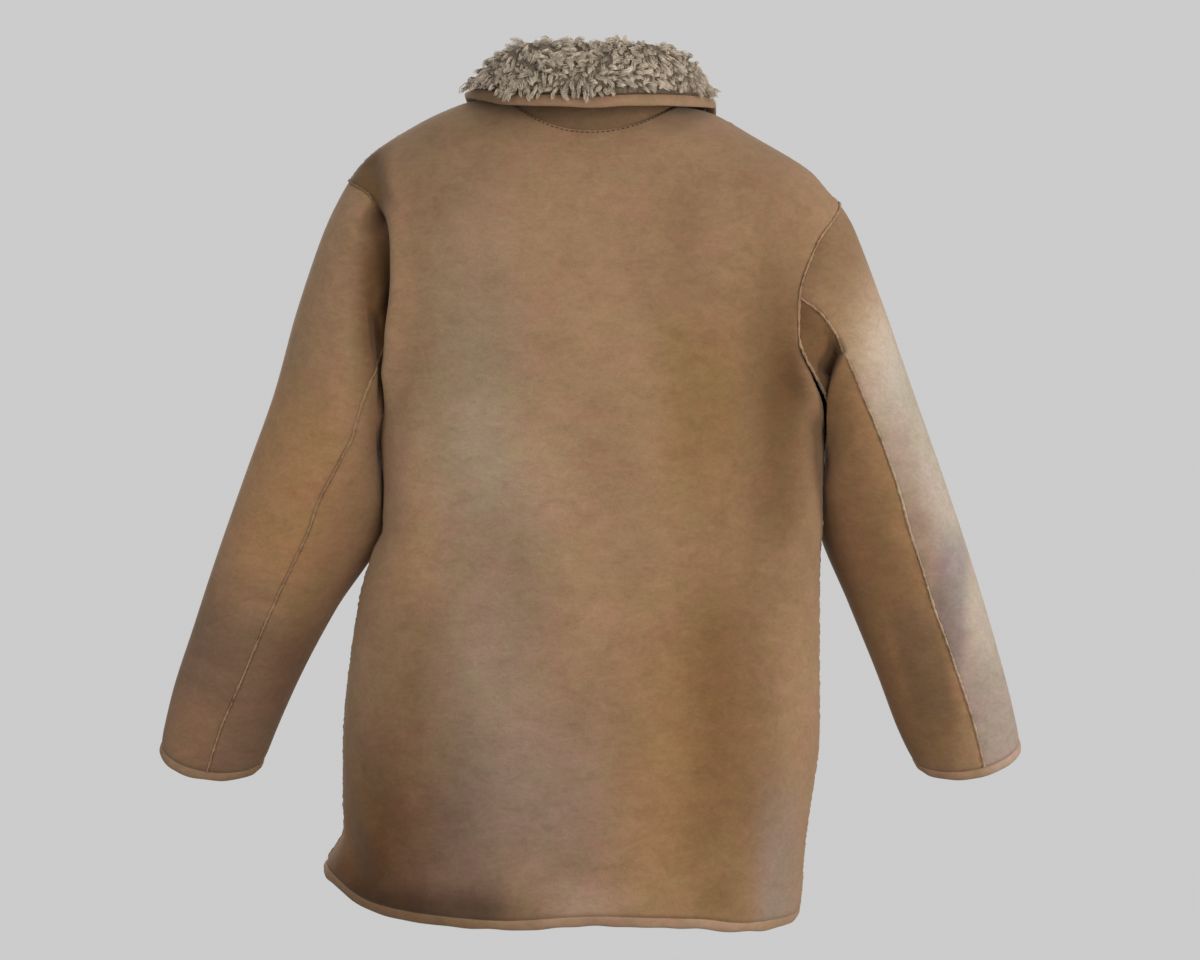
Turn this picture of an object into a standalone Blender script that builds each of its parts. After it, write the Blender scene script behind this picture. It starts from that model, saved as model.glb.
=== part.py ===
"""A thigh-length coat of bonded suede and teddy pile, filled out as if worn.

Frame, in metres: +X is the wearer's left, +Y is the coat's back, +Z is up. The origin is the
middle of the neck, level with the shoulders' neck points, where the wearer holds the coat.
All sizes below are in millimetres and are turned into metres when a mesh is made.

The body is one closed form, given level by level, and the back and the two fronts are cut from
it at the side seams, the shoulders and the armholes. Each sleeve is a tube of slanting rings
that starts on its armhole, and is cut into a top and an under sleeve. The collar is a strip
that stands on the neck seam, rolls over and falls, with the pile on its outside.
"""

import math

import bpy
import numpy as np

MM = 0.001

# Cloth
CLOTH = 4.0              # suede with the pile inside, pressed flat
COLLAR_CLOTH = 3.0       # suede of the collar without its pile
PILE = 10.5              # reach of the collar's pile
SEAM_GAP = 0.3           # between neighbouring pieces
BINDING = 10.0           # width of the binding on hem, cuffs and fronts
BINDING_THICKNESS = 5.6
COLLAR_BINDING = 11.5
COLLAR_GAP = 0.7         # between the neck seam and the stand, and under the pile
COLLAR_EDGE_GAP = 1.4    # between the collar and its binding, less the binding's own gap
COLLAR_CLEAR = 6.5       # between the collar's fall and the body
PILE_EDGE = 0.7          # share of the pile's reach at the neck seam and at the collar's edge
# Half section of a binding: share of its width, share of its half thickness
BINDING_PROFILE = ((0.0, 1.0), (0.75, 1.0), (1.0, 0.45))

# Body levels
UNDERARM_Z = -330.0
NECK_HALF_WIDTH = 88.0
NECK_COLUMN = 0.4        # the column, of 0 to 1 from centre to side, that ends on the neck point
BACK_NECK_Z = -33.0
FRONT_NECK_Z = -90.0
BACK_NECK_POWER = 2.2    # how late the neck seam climbs to the neck point
FRONT_NECK_POWER = 1.8
RIDGE_ROUND = 60.0       # height over which the shoulder turns from back to front
ACROSS_POWER = 2.4       # squareness of the body's plan
OVERLAP = 32.0           # each front passes the centre by this much
OVERLAP_LIFT = 7.0       # the right front lies on the left one
LIFT_RUN = 60.0          # over this width the right front rises to its lift

# Grid of the cloth
ARMHOLE_STEPS = 10       # steps up half an armhole; a sleeve has twice as many round it
ARMHOLE_FULLNESS = 0.79  # sets the height of the armhole at each turn
SLEEVE_CLEAR = 2.5       # the least gap between a sleeve and the body
SLEEVE_CLEAR_RUN = 12.0  # height below the underarm over which that gap sets in
ARMHOLE_RINGS = 2.2      # rings over which a sleeve is drawn onto its armhole
BODY_STEPS = 8           # steps from the underarm to the hem
NECK_STEPS = 6           # columns from the centre to the neck point
SHARP_ANGLE = 50         # degrees between faces at which the shading breaks
SEAM_PLACE = 0.2         # ring place at which a sleeve's own direction at its armhole is read
BACKWARD = 0.03          # short way back across the cloth, to find its direction
NEARBY = 0.02            # short way up and down an armhole, for the same
SHOULDER_STEPS = 5       # columns from the neck point to the shoulder tip

# Half widths and depths of the body. "edge" is the side seam or, above the underarm, the
# armhole; "form" is the closed form that the armhole is cut from.
BODY_COLUMNS = ("z", "left_edge", "left_form", "right_edge", "right_form", "back", "front")
BODY_TABLE = (
    (40, 240, 258, 249, 264, 62, 52),
    (0, 240, 258, 249, 264, 72, 62),
    (-33, 240, 258, 249, 264, 84, 74),
    (-70, 240, 258, 249, 264, 99, 90),
    (-93, 214, 250, 249, 264, 108, 98),
    (-140, 195, 240, 222, 254, 118, 110),
    (-190, 189, 229, 204, 246, 123, 118),
    (-235, 189, 220, 202, 241, 124, 122),
    (-272, 195, 213, 217, 238, 123, 124),
    (-300, 204, 210, 230, 236, 122, 124),
    (-330, 209, 209, 234, 234, 120, 122),
    (-380, 206, 206, 233, 233, 118, 119),
    (-420, 207, 207, 232, 232, 118, 118),
    (-440, 216, 216, 230, 230, 118, 118),
    (-480, 228, 228, 229, 229, 120, 119),
    (-540, 238, 238, 229, 229, 124, 121),
    (-620, 246, 246, 229, 229, 130, 125),
    (-700, 249, 249, 219, 219, 136, 129),
    (-740, 254, 254, 214, 214, 138, 131),
    (-765, 262, 262, 212, 212, 139, 132),
    (-810, 268, 268, 211, 211, 141, 134),
)

# Height of the shoulder line against the distance from the centre
RIDGE_COLUMNS = ("x", "left_z", "right_z")
RIDGE_TABLE = (
    (0, 36, 26), (60, 20, 10), (88, 12, 3), (105, 9.5, 0), (122, 6.5, -5), (140, 0, -14),
    (160, -9, -26), (180, -20, -37.5), (200, -32, -49), (220, -46.5, -62.5), (235, -64, -79),
    (240, -70, -85), (249, -84, -93), (265, -115, -112),
)

# Bottom edge, as heights against the place round the body: -1 the wearer's right side seam,
# 0 the centre, 1 the left side seam
HEM_COLUMNS = ("round", "back_z", "front_z")
HEM_TABLE = (
    (-1.0, -796, -796), (-0.8, -804, -799), (-0.51, -802, -799), (-0.3, -793, -798),
    (-0.03, -789, -797), (0.21, -794, -796), (0.4, -791, -792), (0.57, -785, -786),
    (0.67, -779, -780), (0.8, -770, -772), (1.0, -763, -763),
)

# Long soft troughs in the back
FOLD_COLUMNS = ("x_top", "z_top", "x_low", "z_low", "width", "depth")
FOLD_START = 0.2         # share of a trough over which it sets in, and dies out
FOLD_END = 0.3
FOLD_EDGE = 1.5          # how soon the troughs start from the side seams
BACK_FOLDS = (
    (214, -52, 205, -250, 16, 13),
    (-232, -75, -182, -330, 24, 9),
    (-160, -290, -148, -470, 26, 4),
)

# Sleeve rings: the outer and inner ends seen from the back, the ring's place front to back,
# its half depth, and how far its back hangs down as the arm reaches forward
RING_COLUMNS = ("outer_x", "outer_z", "inner_x", "inner_z", "y", "half_depth", "tilt")
LEFT_RINGS = (
    (240, -70, 209, -330, 0, 70, 0),
    (262, -113, 212, -347, -3, 74, 0),
    (293, -200, 208, -363, -8, 76, 0),
    (317, -280, 204, -390, -18, 76, 3),
    (348, -360, 212, -430, -32, 70, 7),
    (382, -451, 258, -500, -44, 62, 12),
    (407, -522, 295, -567, -54, 54, 17),
    (429, -585, 322, -625, -64, 48, 21),
    (446, -651, 338, -663, -74, 44, 25),
)
RIGHT_RINGS = (
    (249, -93, 234, -330, 0, 70, 0),
    (261, -113, 236, -347, -3, 75, 0),
    (295, -200, 234, -363, -8, 78, 0),
    (323, -275, 229, -388, -18, 79, 3),
    (359, -370, 232, -420, -32, 73, 7),
    (388, -451, 263, -495, -44, 62, 12),
    (411, -522, 292, -564, -54, 54, 17),
    (430, -585, 316, -625, -64, 48, 21),
    (446, -648, 335, -663, -74, 44, 25),
)
# Turn round the ring, from the top towards the back, at which the sleeve's two seams lie
SLEEVE_SEAM_COLUMNS = ("ring", "left_back_turn", "right_back_turn", "front_turn")
SLEEVE_SEAMS = (
    (0, 0.35, 0.25, 0.70), (1, 0.33, 0.242, 0.70), (2, 0.33, 0.254, 0.70),
    (3, 0.294, 0.228, 0.70), (4, 0.268, 0.216, 0.70), (5, 0.268, 0.220, 0.70),
    (6, 0.266, 0.214, 0.70), (7, 0.256, 0.208, 0.70), (8, 0.250, 0.213, 0.70),
)
SLEEVE_ROWS = (0, 0.3, 0.8, 1.4, 2.0, 2.7, 3.4, 4.1, 4.9, 5.8, 6.7, 7.5)

# Collar, against the angle round the neck from the centre back: height of the roll, how far
# the roll leans out, how far the lower edge stands out, its height, and its way to the side
COLLAR_COLUMNS = ("angle", "left_roll_z", "right_roll_z", "lean", "edge_out", "left_edge_z",
                  "right_edge_z", "sway")
COLLAR_TABLE = (
    (0, 38, 38, 4, 32, -17, -17, 0),
    (35, 40, 40.5, 5, 33, -12, -12, 0),
    (65, 29, 32, 6, 35, 2, -6, 0),
    (90, 21, 23, 6, 36, 10, 0, 0),
    (120, 2, 3, 7, 32, -30, -38, 3),
    (150, -24, -24, 7, 26, -84, -88, 12),
    (180, -50, -50, 6, 22, -132, -134, 30),
)
ROLL_RADIUS = 6.0
ROLL_ANGLES = (135, 90, 45, 0)   # degrees round the roll, from the stand to the fall
FALL_SHARES = (1 / 3, 2 / 3, 1)  # rows of the fall, as shares of it without its binding
FALL_ROWS = 5            # rows of the collar, counted from its edge, that rest off the body
COLLAR_OPENING = 14.0    # half of the gap between the collar's ends at the front

# Buttons
BUTTON_RADIUS = 14.0
BUTTON_HEIGHT = 4.5
BUTTON_CLEAR = 0.8
BUTTON_HEIGHTS_Z = (-135, -275, -415, -555)
BUTTON_SIDES = 24
# Half section of a button: radius, height over its underside; the middle is dished
BUTTON_PROFILE = ((9.5, 3.3), (11.0, BUTTON_HEIGHT), (12.8, BUTTON_HEIGHT), (BUTTON_RADIUS, 3.1),
                  (BUTTON_RADIUS, 1.2), (12.5, 0.0))

SUEDE = ((0.29, 0.165, 0.088, 1), 0.9)
PILE_COLOUR = ((0.34, 0.28, 0.21, 1), 1.0)
HORN = ((0.05, 0.028, 0.016, 1), 0.35)


def column(table, columns, name):
    return np.array([row[columns.index(name)] for row in table], float)


def through(places, values, at):
    """Smooth values through the table's rows, with no overshoot between them."""
    order = np.argsort(places)
    x, y = np.asarray(places, float)[order], np.asarray(values, float)[order]
    step = np.diff(x)
    rise = np.diff(y) / step
    slope = np.zeros_like(y)
    inner = rise[:-1] * rise[1:] > 0
    slope[1:-1][inner] = 2 * rise[:-1][inner] * rise[1:][inner] / (rise[:-1] + rise[1:])[inner]
    slope[0], slope[-1] = rise[0], rise[-1]
    at = np.clip(np.asarray(at, float), x[0], x[-1])
    i = np.clip(np.searchsorted(x, at, side="right") - 1, 0, len(step) - 1)
    t = (at - x[i]) / step[i]
    start = y[i] * (2 * t**3 - 3 * t**2 + 1) + slope[i] * step[i] * (t**3 - 2 * t**2 + t)
    return start + y[i + 1] * (3 * t**2 - 2 * t**3) + slope[i + 1] * step[i] * (t**3 - t**2)


def unit(vectors):
    return vectors / np.maximum(np.linalg.norm(vectors, axis=-1, keepdims=True), 1e-12)


def soft_step(value):
    t = np.clip(value, 0, 1)
    return t * t * (3 - 2 * t)


# ---- the body's form ----

def body(name, z):
    return through(column(BODY_TABLE, BODY_COLUMNS, "z"),
                   column(BODY_TABLE, BODY_COLUMNS, name), z)


def by_side(x, left, right):
    return np.where(np.asarray(x) >= 0, left, right)


def tip_z(x):
    """Height of the shoulder tip on the side where x lies."""
    return by_side(x, LEFT_RINGS[0][1], RIGHT_RINGS[0][1])


def ridge_z(x):
    places = column(RIDGE_TABLE, RIDGE_COLUMNS, "x")
    left = through(places, column(RIDGE_TABLE, RIDGE_COLUMNS, "left_z"), np.abs(x))
    right = through(places, column(RIDGE_TABLE, RIDGE_COLUMNS, "right_z"), np.abs(x))
    blend = soft_step(np.asarray(x) / NECK_HALF_WIDTH / 2 + 0.5)
    return right + (left - right) * blend


def fold_depth(x, z):
    """How far the back sinks into its troughs at a point seen from behind."""
    depth = np.zeros_like(np.asarray(x, float))
    for x_top, z_top, x_low, z_low, width, deep in BACK_FOLDS:
        along = (z_top - z) / (z_top - z_low)
        middle = x_top + (x_low - x_top) * along
        fade = soft_step(along / FOLD_START) * soft_step((1 - along) / FOLD_END)
        depth = depth + deep * fade * np.exp(-((x - middle) / width) ** 2)
    return depth


def body_y(x, z, facing):
    """Front-to-back place of the body's outside; facing is 1 for the back, -1 for the fronts."""
    form = by_side(x, body("left_form", z), body("right_form", z))
    share = np.clip(np.abs(x) / form, 0, 1)
    across = np.sqrt(1 - share**ACROSS_POWER)
    below = np.clip((ridge_z(x) - z) / RIDGE_ROUND, 0, 1)
    over = np.sqrt(1 - (1 - below) ** 2)
    depth = body("back", z) if facing > 0 else body("front", z)
    sunk = fold_depth(x, z) * np.minimum(over, across * FOLD_EDGE) if facing > 0 else 0
    return facing * (depth * across * over - sunk)


def body_x(s, z):
    """Sideways place of a column s, from -1 (wearer's right edge) to 1 (left edge)."""
    size = np.abs(s)
    z = np.minimum(z, tip_z(s))
    form = by_side(s, body("left_form", z), body("right_form", z))
    edge = by_side(s, body("left_edge", z), body("right_edge", z))
    neck = np.arcsin(NECK_HALF_WIDTH / form)
    side = np.arcsin(np.clip(edge / form, 0, 1))
    outer = form * np.sin(neck + (side - neck) * (size - NECK_COLUMN) / (1 - NECK_COLUMN))
    return np.sign(s) * np.where(size < NECK_COLUMN, NECK_HALF_WIDTH * size / NECK_COLUMN, outer)


def top_z(s, facing):
    """Height at which a column ends, on the shoulder or on the neck seam."""
    x = body_x(s, tip_z(s))
    point = ridge_z(np.sign(x) * NECK_HALF_WIDTH)
    share = np.clip(np.abs(x) / NECK_HALF_WIDTH, 0, 1)
    low = BACK_NECK_Z if facing > 0 else FRONT_NECK_Z
    power = BACK_NECK_POWER if facing > 0 else FRONT_NECK_POWER
    return np.where(share < 1, low + (point - low) * share**power, ridge_z(x))


def hem_z(s, facing):
    name = "back_z" if facing > 0 else "front_z"
    x = body_x(s, HEM_TABLE[0][1])
    form = by_side(s, body("left_form", HEM_TABLE[0][1]), body("right_form", HEM_TABLE[0][1]))
    place = np.arcsin(np.clip(x / form, -1, 1)) / (math.pi / 2)
    return through(column(HEM_TABLE, HEM_COLUMNS, "round"),
                   column(HEM_TABLE, HEM_COLUMNS, name), place)


def body_point(s, rise, facing, lift=0.0):
    """A point of the body; rise is -1 at the hem, 0 at the underarm and 1 at the top."""
    s, rise = np.broadcast_arrays(np.asarray(s, float), np.asarray(rise, float))
    top, hem = top_z(s, facing), hem_z(s, facing)
    z = np.where(rise > 0, UNDERARM_Z + (top - UNDERARM_Z) * rise,
                 UNDERARM_Z + (UNDERARM_Z - hem) * rise)
    x = body_x(s, z)
    y = body_y(x, z, facing)
    raised = lift * soft_step((x + OVERLAP + LIFT_RUN) / LIFT_RUN)
    return np.stack([x, y + facing * raised, z], axis=-1)


def armhole_rise(turn):
    """Rise of the armhole at a turn round it: 0 is the shoulder tip, a half the underarm."""
    return ((1 + np.cos(2 * math.pi * np.asarray(turn))) / 2)**ARMHOLE_FULLNESS


# ---- a sleeve ----

def ring_value(rings, name, place):
    return through(np.arange(len(rings)), column(rings, RING_COLUMNS, name), place)


def ring_point(rings, wearer, turn, place):
    """A point of the sleeve's own rings; place counts the rings from the armhole down."""
    turn, place = np.broadcast_arrays(np.asarray(turn, float), np.asarray(place, float))
    value = {name: ring_value(rings, name, place) for name in RING_COLUMNS}
    angle = 2 * math.pi * turn
    out_x = (value["outer_x"] - value["inner_x"]) / 2
    out_z = (value["outer_z"] - value["inner_z"]) / 2
    tilt = np.radians(value["tilt"])
    depth = value["half_depth"] * np.sin(angle)
    x = (value["outer_x"] + value["inner_x"]) / 2 + out_x * np.cos(angle)
    y = value["y"] + depth * np.cos(tilt)
    z = (value["outer_z"] + value["inner_z"]) / 2 + out_z * np.cos(angle) - depth * np.sin(tilt)
    return np.stack([wearer * x, y, z], axis=-1)


def armhole_point(wearer, turn):
    """The armhole's edge on the body, at the same turn as the sleeve's rings."""
    turn = np.asarray(turn, float) % 1
    rise = armhole_rise(turn)
    back = body_point(np.full_like(turn, wearer), rise, 1)
    front = body_point(np.full_like(turn, wearer), rise, -1)
    return np.where((turn <= 0.5)[..., None], back, front)


def body_side(y, z, wearer):
    """Half width of the body at a point in front of or behind its side seam."""
    form = body("left_form" if wearer > 0 else "right_form", z)
    depth = np.where(y > 0, body("back", z), body("front", z))
    share = np.clip(np.abs(y) / depth, 0, 1)
    return form * (1 - share**2)**(1 / ACROSS_POWER)


def sleeve_point(rings, wearer, turn, place):
    """A point of the sleeve, drawn onto the armhole over its first rings and off the body."""
    turn, place = np.broadcast_arrays(np.asarray(turn, float), np.asarray(place, float))
    fade = (1 - soft_step(place / ARMHOLE_RINGS))[..., None]
    pull = armhole_point(wearer, turn) - ring_point(rings, wearer, turn, np.zeros_like(place))
    point = ring_point(rings, wearer, turn, place) + pull * fade
    below = soft_step((UNDERARM_Z - point[..., 2]) / SLEEVE_CLEAR_RUN)
    least = body_side(point[..., 1], point[..., 2], wearer) + SLEEVE_CLEAR
    lacking = np.maximum(least - wearer * point[..., 0], 0) * below
    point[..., 0] += wearer * lacking
    return point


def seam_normal(rings, wearer, turn):
    """The direction that both walls turn their edge to at the armhole."""
    turn = np.asarray(turn, float)
    rise = armhole_rise(turn % 1)
    sides = []
    for facing in (1, -1):
        edge = np.full_like(turn, wearer)
        along = body_point(edge, rise, facing)
        inner = body_point(edge * (1 - BACKWARD), rise, facing)
        above = body_point(edge, np.clip(rise + NEARBY, 0, 1), facing)
        below = body_point(edge, np.clip(rise - NEARBY, 0, 1), facing)
        normal = unit(np.cross(above - below, along - inner))
        sides.append(normal * np.sign(normal[..., 1:2] * facing + 1e-9))
    own = np.where(((turn % 1) <= 0.5)[..., None], sides[0], sides[1])
    sleeve = sleeve_normals(lambda t, p: sleeve_point(rings, wearer, t, p), turn,
                            np.full_like(turn, SEAM_PLACE))
    return unit(own + sleeve)


# ---- walls ----

def normals(surface, a, b):
    """Unit normals of surface(a, b), from small steps that stay on the piece."""
    step = 1e-3
    low_a, high_a = a.min(), a.max()
    low_b, high_b = b.min(), b.max()
    a_more, a_less = np.minimum(a + step, high_a), np.maximum(a - step, low_a)
    b_more, b_less = np.minimum(b + step, high_b), np.maximum(b - step, low_b)
    along_a = surface(a_more, b) - surface(a_less, b)
    along_b = surface(a, b_more) - surface(a, b_less)
    return unit(np.cross(along_a, along_b))


def drawn_in(points, gap, sides=(True, True, True, True)):
    """The grid with its edge rows moved in along the cloth by gap, for the seams."""
    moved = points.copy()
    edges = ((0, 1, 0), (-1, -2, 0), (0, 1, 1), (-1, -2, 1))
    for (edge, inner, axis), wanted in zip(edges, sides):
        if wanted:
            rows = np.moveaxis(moved, axis, 0)
            source = np.moveaxis(points, axis, 0)
            way = source[inner] - source[edge]
            length = np.maximum(np.linalg.norm(way, axis=-1, keepdims=True), 1e-9)
            rows[edge] += way / length * gap
    return moved


def mesh_object(name, vertices, faces, look):
    """One named object from points in millimetres, with its faces pointing out."""
    mesh = bpy.data.meshes.new(name)
    mesh.from_pydata([tuple(v) for v in np.asarray(vertices) * MM], [], faces)
    mesh.update()
    mesh.calc_loop_triangles()
    points = np.array([v.co for v in mesh.vertices])
    corners = points[np.array([t.vertices for t in mesh.loop_triangles])]
    if np.linalg.det(corners).sum() < 0:
        mesh.flip_normals()
    mesh.shade_smooth()
    mesh.set_sharp_from_angle(angle=math.radians(SHARP_ANGLE))
    made = bpy.data.objects.new(name, mesh)
    bpy.context.scene.collection.objects.link(made)
    mesh.materials.append(material(*look))
    return made


def material(colour, roughness):
    key = "finish_" + "_".join(f"{c:.3f}" for c in colour[:3])
    found = bpy.data.materials.get(key)
    if found:
        return found
    made = bpy.data.materials.new(key)
    made.use_nodes = True
    shader = made.node_tree.nodes["Principled BSDF"]
    shader.inputs["Base Color"].default_value = colour
    shader.inputs["Roughness"].default_value = roughness
    shader.inputs["Metallic"].default_value = 0.0
    made.diffuse_color = colour
    return made


def wall(name, outside, inside, look, closed=False):
    """A closed wall between two grids of points. closed joins the last row to the first."""
    rows, columns = outside.shape[:2]
    vertices = np.concatenate([outside.reshape(-1, 3), inside.reshape(-1, 3)])
    shift = rows * columns

    def at(i, j, layer=0):
        return (i % rows) * columns + j + layer * shift

    faces = []
    steps = rows if closed else rows - 1
    for i in range(steps):
        for j in range(columns - 1):
            faces.append((at(i, j), at(i + 1, j), at(i + 1, j + 1), at(i, j + 1)))
            faces.append((at(i, j, 1), at(i, j + 1, 1), at(i + 1, j + 1, 1), at(i + 1, j, 1)))
        last = columns - 1
        faces.append((at(i, 0), at(i, 0, 1), at(i + 1, 0, 1), at(i + 1, 0)))
        faces.append((at(i, last), at(i + 1, last), at(i + 1, last, 1), at(i, last, 1)))
    if not closed:
        for j in range(columns - 1):
            faces.append((at(0, j), at(0, j + 1), at(0, j + 1, 1), at(0, j, 1)))
            last = rows - 1
            faces.append((at(last, j), at(last, j, 1), at(last, j + 1, 1), at(last, j + 1)))
    return mesh_object(name, vertices, faces, look)


def strip(name, edge, way, normal, width, thickness, look, closed=False):
    """A binding along an edge: a band with a rounded far side.

    edge holds the cloth's outer edge points, way the direction that the band runs on in and
    normal the outside, one each; the band stands proud of the cloth by half of the difference.
    """
    proud = (thickness - CLOTH) / 2
    rows_out, rows_in = [], []
    for share, full in BINDING_PROFILE:
        middle = edge + way * (SEAM_GAP + share * (width - SEAM_GAP)) - normal * (CLOTH / 2)
        half = (CLOTH / 2 + proud) * full
        rows_out.append(middle + normal * half)
        rows_in.append(middle - normal * half)
    outside, inside = np.stack(rows_out, axis=1), np.stack(rows_in, axis=1)
    return wall(name, outside, inside, look, closed)


# ---- the pieces ----

def half_columns(wearer):
    """Columns from the centre to the side, close together at the neck point."""
    inner = NECK_COLUMN * np.sin(np.linspace(0, math.pi / 2, NECK_STEPS + 1))
    outer = np.linspace(NECK_COLUMN, 1, SHOULDER_STEPS + 1)[1:]
    return wearer * np.concatenate([inner, outer])


def body_rises(hem_share):
    """Rises of all rows from the top of the binding to the shoulder."""
    below = np.linspace(-hem_share, 0, BODY_STEPS + 1)[:-1]
    turns = np.linspace(0.5, 0, ARMHOLE_STEPS + 1)
    return np.concatenate([below, armhole_rise(turns)]), turns


def body_panel(name, columns, facing, lift=0.0):
    """A back or front, from the top of its hem binding to the shoulder, with its binding."""
    hem_share = 1 - BINDING / (UNDERARM_Z - np.mean(hem_z(columns, facing)))
    rises, turns = body_rises(hem_share)
    a, b = np.meshgrid(columns, rises, indexing="ij")

    def surface(s, rise):
        return body_point(s, rise, facing, lift)

    points = surface(a, b)
    normal = normals(surface, a, b)
    if (normal[..., 1] * facing).sum() < 0:
        normal = -normal
    for edge in (0, -1):
        if abs(columns[edge]) == 1:
            wearer = int(columns[edge])
            rings = LEFT_RINGS if wearer > 0 else RIGHT_RINGS
            around = turns if facing > 0 else 1 - turns
            normal[edge, BODY_STEPS + 1:] = seam_normal(rings, wearer, around)[1:]
    points = drawn_in(points, SEAM_GAP / 2)
    inside = points - normal * CLOTH
    for grid in (points, inside):
        grid[..., 1] = facing * np.maximum(facing * grid[..., 1], SEAM_GAP / 2)
    wall(name, points, inside, SUEDE)
    down = unit(points[:, 0] - points[:, 1])
    return points, normal, down


def hem_binding(name, made):
    points, normal, down = made
    strip(name, points[:, 0], down, normal[:, 0], BINDING, BINDING_THICKNESS, SUEDE)


def front_binding(name, made, edge):
    """The binding up a front's free edge; edge is 0 for the first column, -1 for the last."""
    points, normal, _ = made
    inner = 1 if edge == 0 else -2
    way = unit(points[edge] - points[inner])
    strip(name, points[edge], way, normal[edge], BINDING, BINDING_THICKNESS, SUEDE)


def make_body():
    columns = np.concatenate([half_columns(-1)[::-1], half_columns(1)[1:]])
    back = body_panel("back", columns, 1)
    hem_binding("hem_binding_back", back)
    end, past = (x / NECK_HALF_WIDTH * NECK_COLUMN for x in (COLLAR_OPENING, OVERLAP - BINDING))
    left = np.concatenate([[-past, -end, 0, end], half_columns(1)[1:]])
    right = -left[::-1]
    front_left = body_panel("front_left", left, -1)
    front_right = body_panel("front_right", right, -1, OVERLAP_LIFT)
    hem_binding("hem_binding_front_left", front_left)
    hem_binding("hem_binding_front_right", front_right)
    front_binding("front_edge_binding_left", front_left, 0)
    front_binding("front_edge_binding_right", front_right, -1)


def seam_turn(wearer, place):
    name = "left_back_turn" if wearer > 0 else "right_back_turn"
    rings = column(SLEEVE_SEAMS, SLEEVE_SEAM_COLUMNS, "ring")
    back = through(rings, column(SLEEVE_SEAMS, SLEEVE_SEAM_COLUMNS, name), place)
    front = through(rings, column(SLEEVE_SEAMS, SLEEVE_SEAM_COLUMNS, "front_turn"), place)
    return back, front


def make_sleeve(side, wearer, rings):
    """The top and under sleeve of one arm, and the binding of its cuff."""
    places = np.array(SLEEVE_ROWS + (cuff_place(rings, wearer),))
    around = 2 * ARMHOLE_STEPS
    back, front = seam_turn(wearer, places)
    back_count, front_count = round(back[0] * around), round(front[0] * around)
    spans = {
        "sleeve_top_": (front - 1, back, front_count - around, back_count),
        "sleeve_under_": (back, front, back_count, front_count),
    }
    for name, (start, end, first, last) in spans.items():
        share = np.linspace(0, 1, last - first + 1)
        a = start[None, :] + (end - start)[None, :] * share[:, None]
        b = np.broadcast_to(places, a.shape)

        def surface(turn, place):
            return sleeve_point(rings, wearer, turn, place)

        points, normal = surface(a, b), sleeve_normals(surface, a, b)
        normal[:, 0] = seam_normal(rings, wearer, a[:, 0])
        points = drawn_in(points, SEAM_GAP / 2, (True, True, False, False))
        points[:, 0] += unit(points[:, 1] - points[:, 0]) * SEAM_GAP
        points[:, 0, 0] += wearer * SEAM_GAP
        wall(name + side, points, points - normal * CLOTH, SUEDE)
    turns = np.arange(around) / around
    place = np.full(around, places[-1])
    edge = sleeve_point(rings, wearer, turns, place)
    way = unit(edge - sleeve_point(rings, wearer, turns, place - 0.1))
    normal = sleeve_normals(lambda t, p: sleeve_point(rings, wearer, t, p), turns, place)
    strip("cuff_binding_" + side, edge, way, normal, BINDING, BINDING_THICKNESS, SUEDE, True)


def cuff_place(rings, wearer):
    """How far down the rings the cloth ends, so that the cuff's binding ends on the last."""
    last = len(rings) - 1
    run = ring_point(rings, wearer, 0.25, last) - ring_point(rings, wearer, 0.25, last - 0.1)
    return last - BINDING / (np.linalg.norm(run) * 10)


def sleeve_normals(surface, turn, place):
    """Normals of a sleeve, pointing away from its own middle."""
    step = 1e-3
    around = surface(turn + step, place) - surface(turn - step, place)
    down = surface(turn, place + step) - surface(turn, np.maximum(place - step, 0))
    normal = unit(np.cross(around, down))
    outward = surface(turn, place) - surface(turn + 0.5, place)
    return normal * np.sign((normal * outward).sum(-1, keepdims=True))


def neck_seam():
    """The neck seam from the front's centre on the wearer's right round to the left.

    Each point is just off the body's edge, in the body's own surface.
    """
    across = half_columns(1)[:NECK_STEPS + 1]
    front = np.concatenate([[COLLAR_OPENING / NECK_HALF_WIDTH * NECK_COLUMN], across[1:]])
    back = np.concatenate([-across[::-1], across[1:]])[1:-1]
    parts = []
    for columns, facing, lift in ((-front, -1, OVERLAP_LIFT), (back, 1, 0), (front[::-1], -1, 0)):
        edge = body_point(columns, 1.0, facing, lift)
        nearer = columns - np.where(columns < 0, -BACKWARD, BACKWARD) / 3
        side = edge - body_point(nearer, 1.0, facing, lift)
        down = body_point(columns, 1 - BACKWARD, facing, lift) - edge
        across_seam = unit(down - unit(side) * (down * unit(side)).sum(-1, keepdims=True))
        parts.append(edge - across_seam * COLLAR_GAP)
    return np.concatenate(parts)


def collar_section(seam_point, at):
    """The collar's suede side over one seam point, as (outward, up) pairs from the seam."""
    side = "left" if seam_point[0] >= 0 else "right"
    height = at[side + "_roll_z"] - ROLL_RADIUS - seam_point[2]
    path = [(0.0, 0.0), (at["lean"] / 2, height / 2), (at["lean"], height)]
    for angle in ROLL_ANGLES:
        turn = math.radians(angle)
        path.append((at["lean"] + ROLL_RADIUS * (1 + math.cos(turn)),
                     height + ROLL_RADIUS * math.sin(turn)))
    start = np.array(path[-1])
    end = np.array([at["edge_out"], at[side + "_edge_z"] - seam_point[2]])
    fall = end - start
    cloth_end = 1 - COLLAR_BINDING / np.linalg.norm(fall)
    for share in FALL_SHARES:
        path.append(tuple(start + fall * cloth_end * share))
    path.append(tuple(end))
    return np.array(path)


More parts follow.
